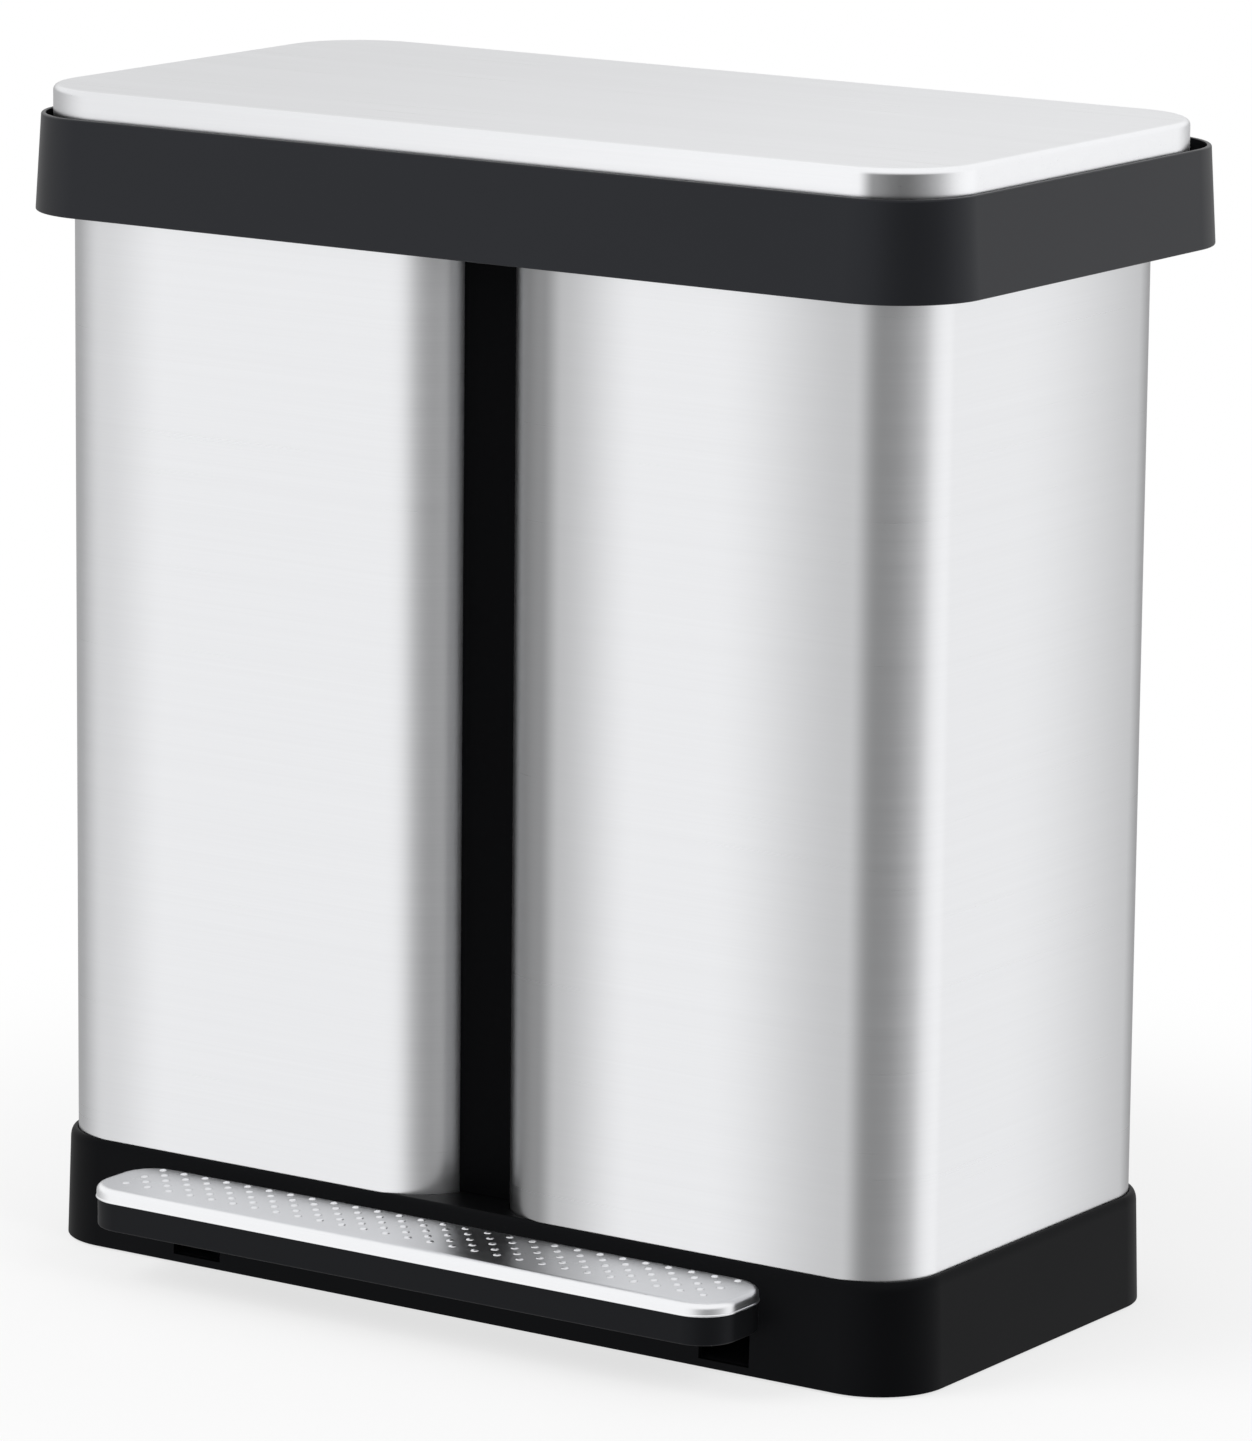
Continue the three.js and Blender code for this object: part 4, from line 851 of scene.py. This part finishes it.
for side, sign in SIDES:
    centre = sign * COLUMN
    steps = []
    for ear in (-1, 1):
        x0, x1 = sorted((centre + ear * 117.2, centre + ear * 120.2))
        steps.append(("UNION", box_shape((x0, MIDDLE - 7, BUCKET_TOP - 1), (x1, MIDDLE + 7, PIVOT_Z + 5))))
    for ear in (-1, 1):
        x0, x1 = sorted((centre + ear * 116.2, centre + ear * 121.2))
        steps.append(("DIFFERENCE", bar_shape(PIVOT_BORE, (x0, MIDDLE, PIVOT_Z), (x1, MIDDLE, PIVOT_Z))))
    shape = combine(sweep(Outline(244, 243.9, 32, centre), bucket_levels, 12), steps)
    piece(f"inner_bucket_{side}", shape, f"bucket_{side}", bucket_grey, [f"bucket_{side}"])

    bail = Outline(232, 231.9, 30, centre)
    inside = Outline(218, 217.9, 23, centre)
    steps = [
        ("DIFFERENCE", sweep(inside, [(590, 0), (610, 0)], 12)),
        ("DIFFERENCE", box_shape((centre - 130, MIDDLE, 590), (centre + 130, MIDDLE + 130, 610))),
    ]
    for end in (-1, 1):
        x0, x1 = sorted((centre + end * 109, centre + end * 120.2))
        steps.append(("UNION", bar_shape(PIVOT_RADIUS, (x0, MIDDLE, PIVOT_Z), (x1, MIDDLE, PIVOT_Z), 24)))
    shape = combine(sweep(bail, handle_levels, 12), steps)
    piece(f"bail_{side}", shape, f"handle_{side}", black_inner, [f"bucket_handle_{side}"])

# %% [markdown]
# ## Finishes for the pieces that keep their shape
#
# Screws, pins, levers, feet and the spines are right as they are. Each takes the finish of its own material,
# except the front spine, whose darker black is painted shade in the gap between the columns.

# %% Finishes of the other nodes
FINISH_OF_SLOT = {
    "black_plastic": black_inner,
    "grey_plastic": linkage_grey,
    "zinc_steel": zinc,
    "rubber": rubber,
    "brushed_steel": steel_lid,
}
slot_of = {row["node"]: row["material_slot"] for row in frame["record"]["subparts"]}
kept = 0
for name, node in nodes.items():
    # The front spine takes the darker black as painted shade in the gap between the columns.
    finish = black_painted_shade if name == "front_spine" else FINISH_OF_SLOT[slot_of[name]]
    node.data.materials.clear()
    node.data.materials.append(finish)
    kept += not node.hide_render
print("nodes that keep their shape:", kept)

# %% [markdown]
# ## Studio
#
# The bin stands on a white floor in a white room. Steel shows what stands round it, so the room has a plan: a
# large soft light at the front left, a dimmer stretch where the camera stands, and a second light at the right.
# Only reflections see that plan. The lamps are soft and give the floor its faint shadow. The floor glows a little,
# as an overexposed paper does, and passes into the white of the backdrop. Mirror rays pass through it.

# %% World
world = bpy.data.worlds.new("white_studio")
world.use_nodes = True
scene.world = world
tree = world.node_tree
tree.nodes.clear()
direction = tree.nodes.new("ShaderNodeTexCoord").outputs["Generated"]
split = tree.nodes.new("ShaderNodeSeparateXYZ")
tree.links.new(direction, split.inputs[0])
east, north, height = (Wire(tree, out) for out in split.outputs)
bearing = east.maths("ARCTAN2", north * -1) * (0.5 / math.pi) + 0.5
# Degrees from the front, positive to the right, and how light the room is there.
ROOM = [
    (-180, 0.50),
    (-134, 0.44),
    (-94, 0.50),
    (-64, 0.80),
    (-50, 0.95),
    (-22, 0.95),
    (-4, 0.93),
    (8, 0.78),
    (24, 0.45),
    (40, 0.31),
    (54, 0.29),
    (70, 0.38),
    (88, 0.52),
    (106, 0.88),
    (126, 1.0),
    (146, 0.98),
    (180, 0.50),
]
room = tree.nodes.new("ShaderNodeValToRGB")
stops = room.color_ramp.elements
while len(stops) < len(ROOM):
    stops.new(0.5)
for stop, (angle, light) in zip(stops, ROOM):
    stop.position = (angle + 180) / 360
    stop.color = (light, light, light, 1)
tree.links.new(bearing.socket, room.inputs[0])
ceiling = tree.nodes.new("ShaderNodeMix")
ceiling.data_type = "RGBA"
plug(tree, ceiling.inputs[0], height.ramp(0.02, 0.30))
tree.links.new(room.outputs[0], ceiling.inputs[6])
CEILING = 0.96
ceiling.inputs[7].default_value = (CEILING, CEILING, CEILING, 1)
glossy = tree.nodes.new("ShaderNodeBackground")
tree.links.new(ceiling.outputs[2], glossy.inputs[0])
plain = tree.nodes.new("ShaderNodeBackground")
plain.inputs[0].default_value = (1, 1, 1, 1)
rays = tree.nodes.new("ShaderNodeLightPath")
ROOM_LIGHT = 0.55  # on dull surfaces; the camera sees full white
plain_strength = Wire(tree, rays.outputs["Is Camera Ray"]) * (1 - ROOM_LIGHT) + ROOM_LIGHT
plug(tree, plain.inputs[1], plain_strength)
chosen = tree.nodes.new("ShaderNodeMixShader")
tree.links.new(rays.outputs["Is Glossy Ray"], chosen.inputs[0])
tree.links.new(plain.outputs[0], chosen.inputs[1])
tree.links.new(glossy.outputs[0], chosen.inputs[2])
result = tree.nodes.new("ShaderNodeOutputWorld")
tree.links.new(chosen.outputs[0], result.inputs[0])
print("room plan has", len(ROOM), "stops")


# %% Lamps
LAMP_AIM = Vector((0, 0, 0.3))


def soft_lamp(name, place, size, power):
    """A round lamp that no reflection shows. Place and size are in metres, power in watts."""
    data = bpy.data.lights.new(name, "AREA")
    data.shape = "DISK"
    data.size = size
    data.energy = power
    lamp = bpy.data.objects.new(name, data)
    scene.collection.objects.link(lamp)
    lamp.location = place
    lamp.rotation_euler = (LAMP_AIM - Vector(place)).to_track_quat("-Z", "Y").to_euler()
    lamp.visible_glossy = False


soft_lamp("key", (-1.6, -2.4, 3.0), 2.2, 60)
soft_lamp("fill", (2.8, -0.6, 2.2), 2.0, 30)

# %% Floor
FLOOR_RADIUS = 3.0
WHITE_SHARE = 0.72  # of the floor's look near the bin
floor_shape = bmesh.new()
bmesh.ops.create_circle(floor_shape, cap_ends=True, segments=96, radius=FLOOR_RADIUS)
floor_mesh = bpy.data.meshes.new("floor")
floor_shape.to_mesh(floor_mesh)
floor_shape.free()
floor = bpy.data.objects.new("floor", floor_mesh)
scene.collection.objects.link(floor)
floor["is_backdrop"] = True

FLOOR_PAINT = {"Base Color": (0.92, 0.92, 0.92, 1), "Roughness": 0.9, "Specular IOR Level": 0.0}
paint = Recipe("pale_floor", FLOOR_PAINT)
_, (fx, fy, _) = paint.place()
distance = (fx * fx + fy * fy).maths("SQRT")
glow = paint.node("Emission", Color=(1, 1, 1, 1), Strength=1.0)
clear = paint.node("BsdfTransparent")
path = paint.tree.nodes.new("ShaderNodeLightPath")


def mixed(factor, first, second):
    node = paint.tree.nodes.new("ShaderNodeMixShader")
    plug(paint.tree, node.inputs[0], factor)
    paint.tree.links.new(first, node.inputs[1])
    paint.tree.links.new(second, node.inputs[2])
    return node.outputs[0]


white = distance.ramp(0.30, 0.80) * (1 - WHITE_SHARE) + WHITE_SHARE
seen = mixed(white, paint.shader.outputs[0], glow.socket)
ground = mixed(Wire(paint.tree, path.outputs["Is Glossy Ray"]), seen, clear.socket)
output = next(n for n in paint.tree.nodes if n.type == "OUTPUT_MATERIAL")
paint.tree.links.new(ground, output.inputs[0])
floor_mesh.materials.append(paint.material)
print("floor radius", FLOOR_RADIUS, "m")

# %% [markdown]
# ## Sizes and the closing line
#
# The visual model has to fill the same box as the frame. Its box is printed here.

# %% Print the visual box
low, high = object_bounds()
print("visual box in metres:", tuple(round(v, 4) for v in (*low, *high)))
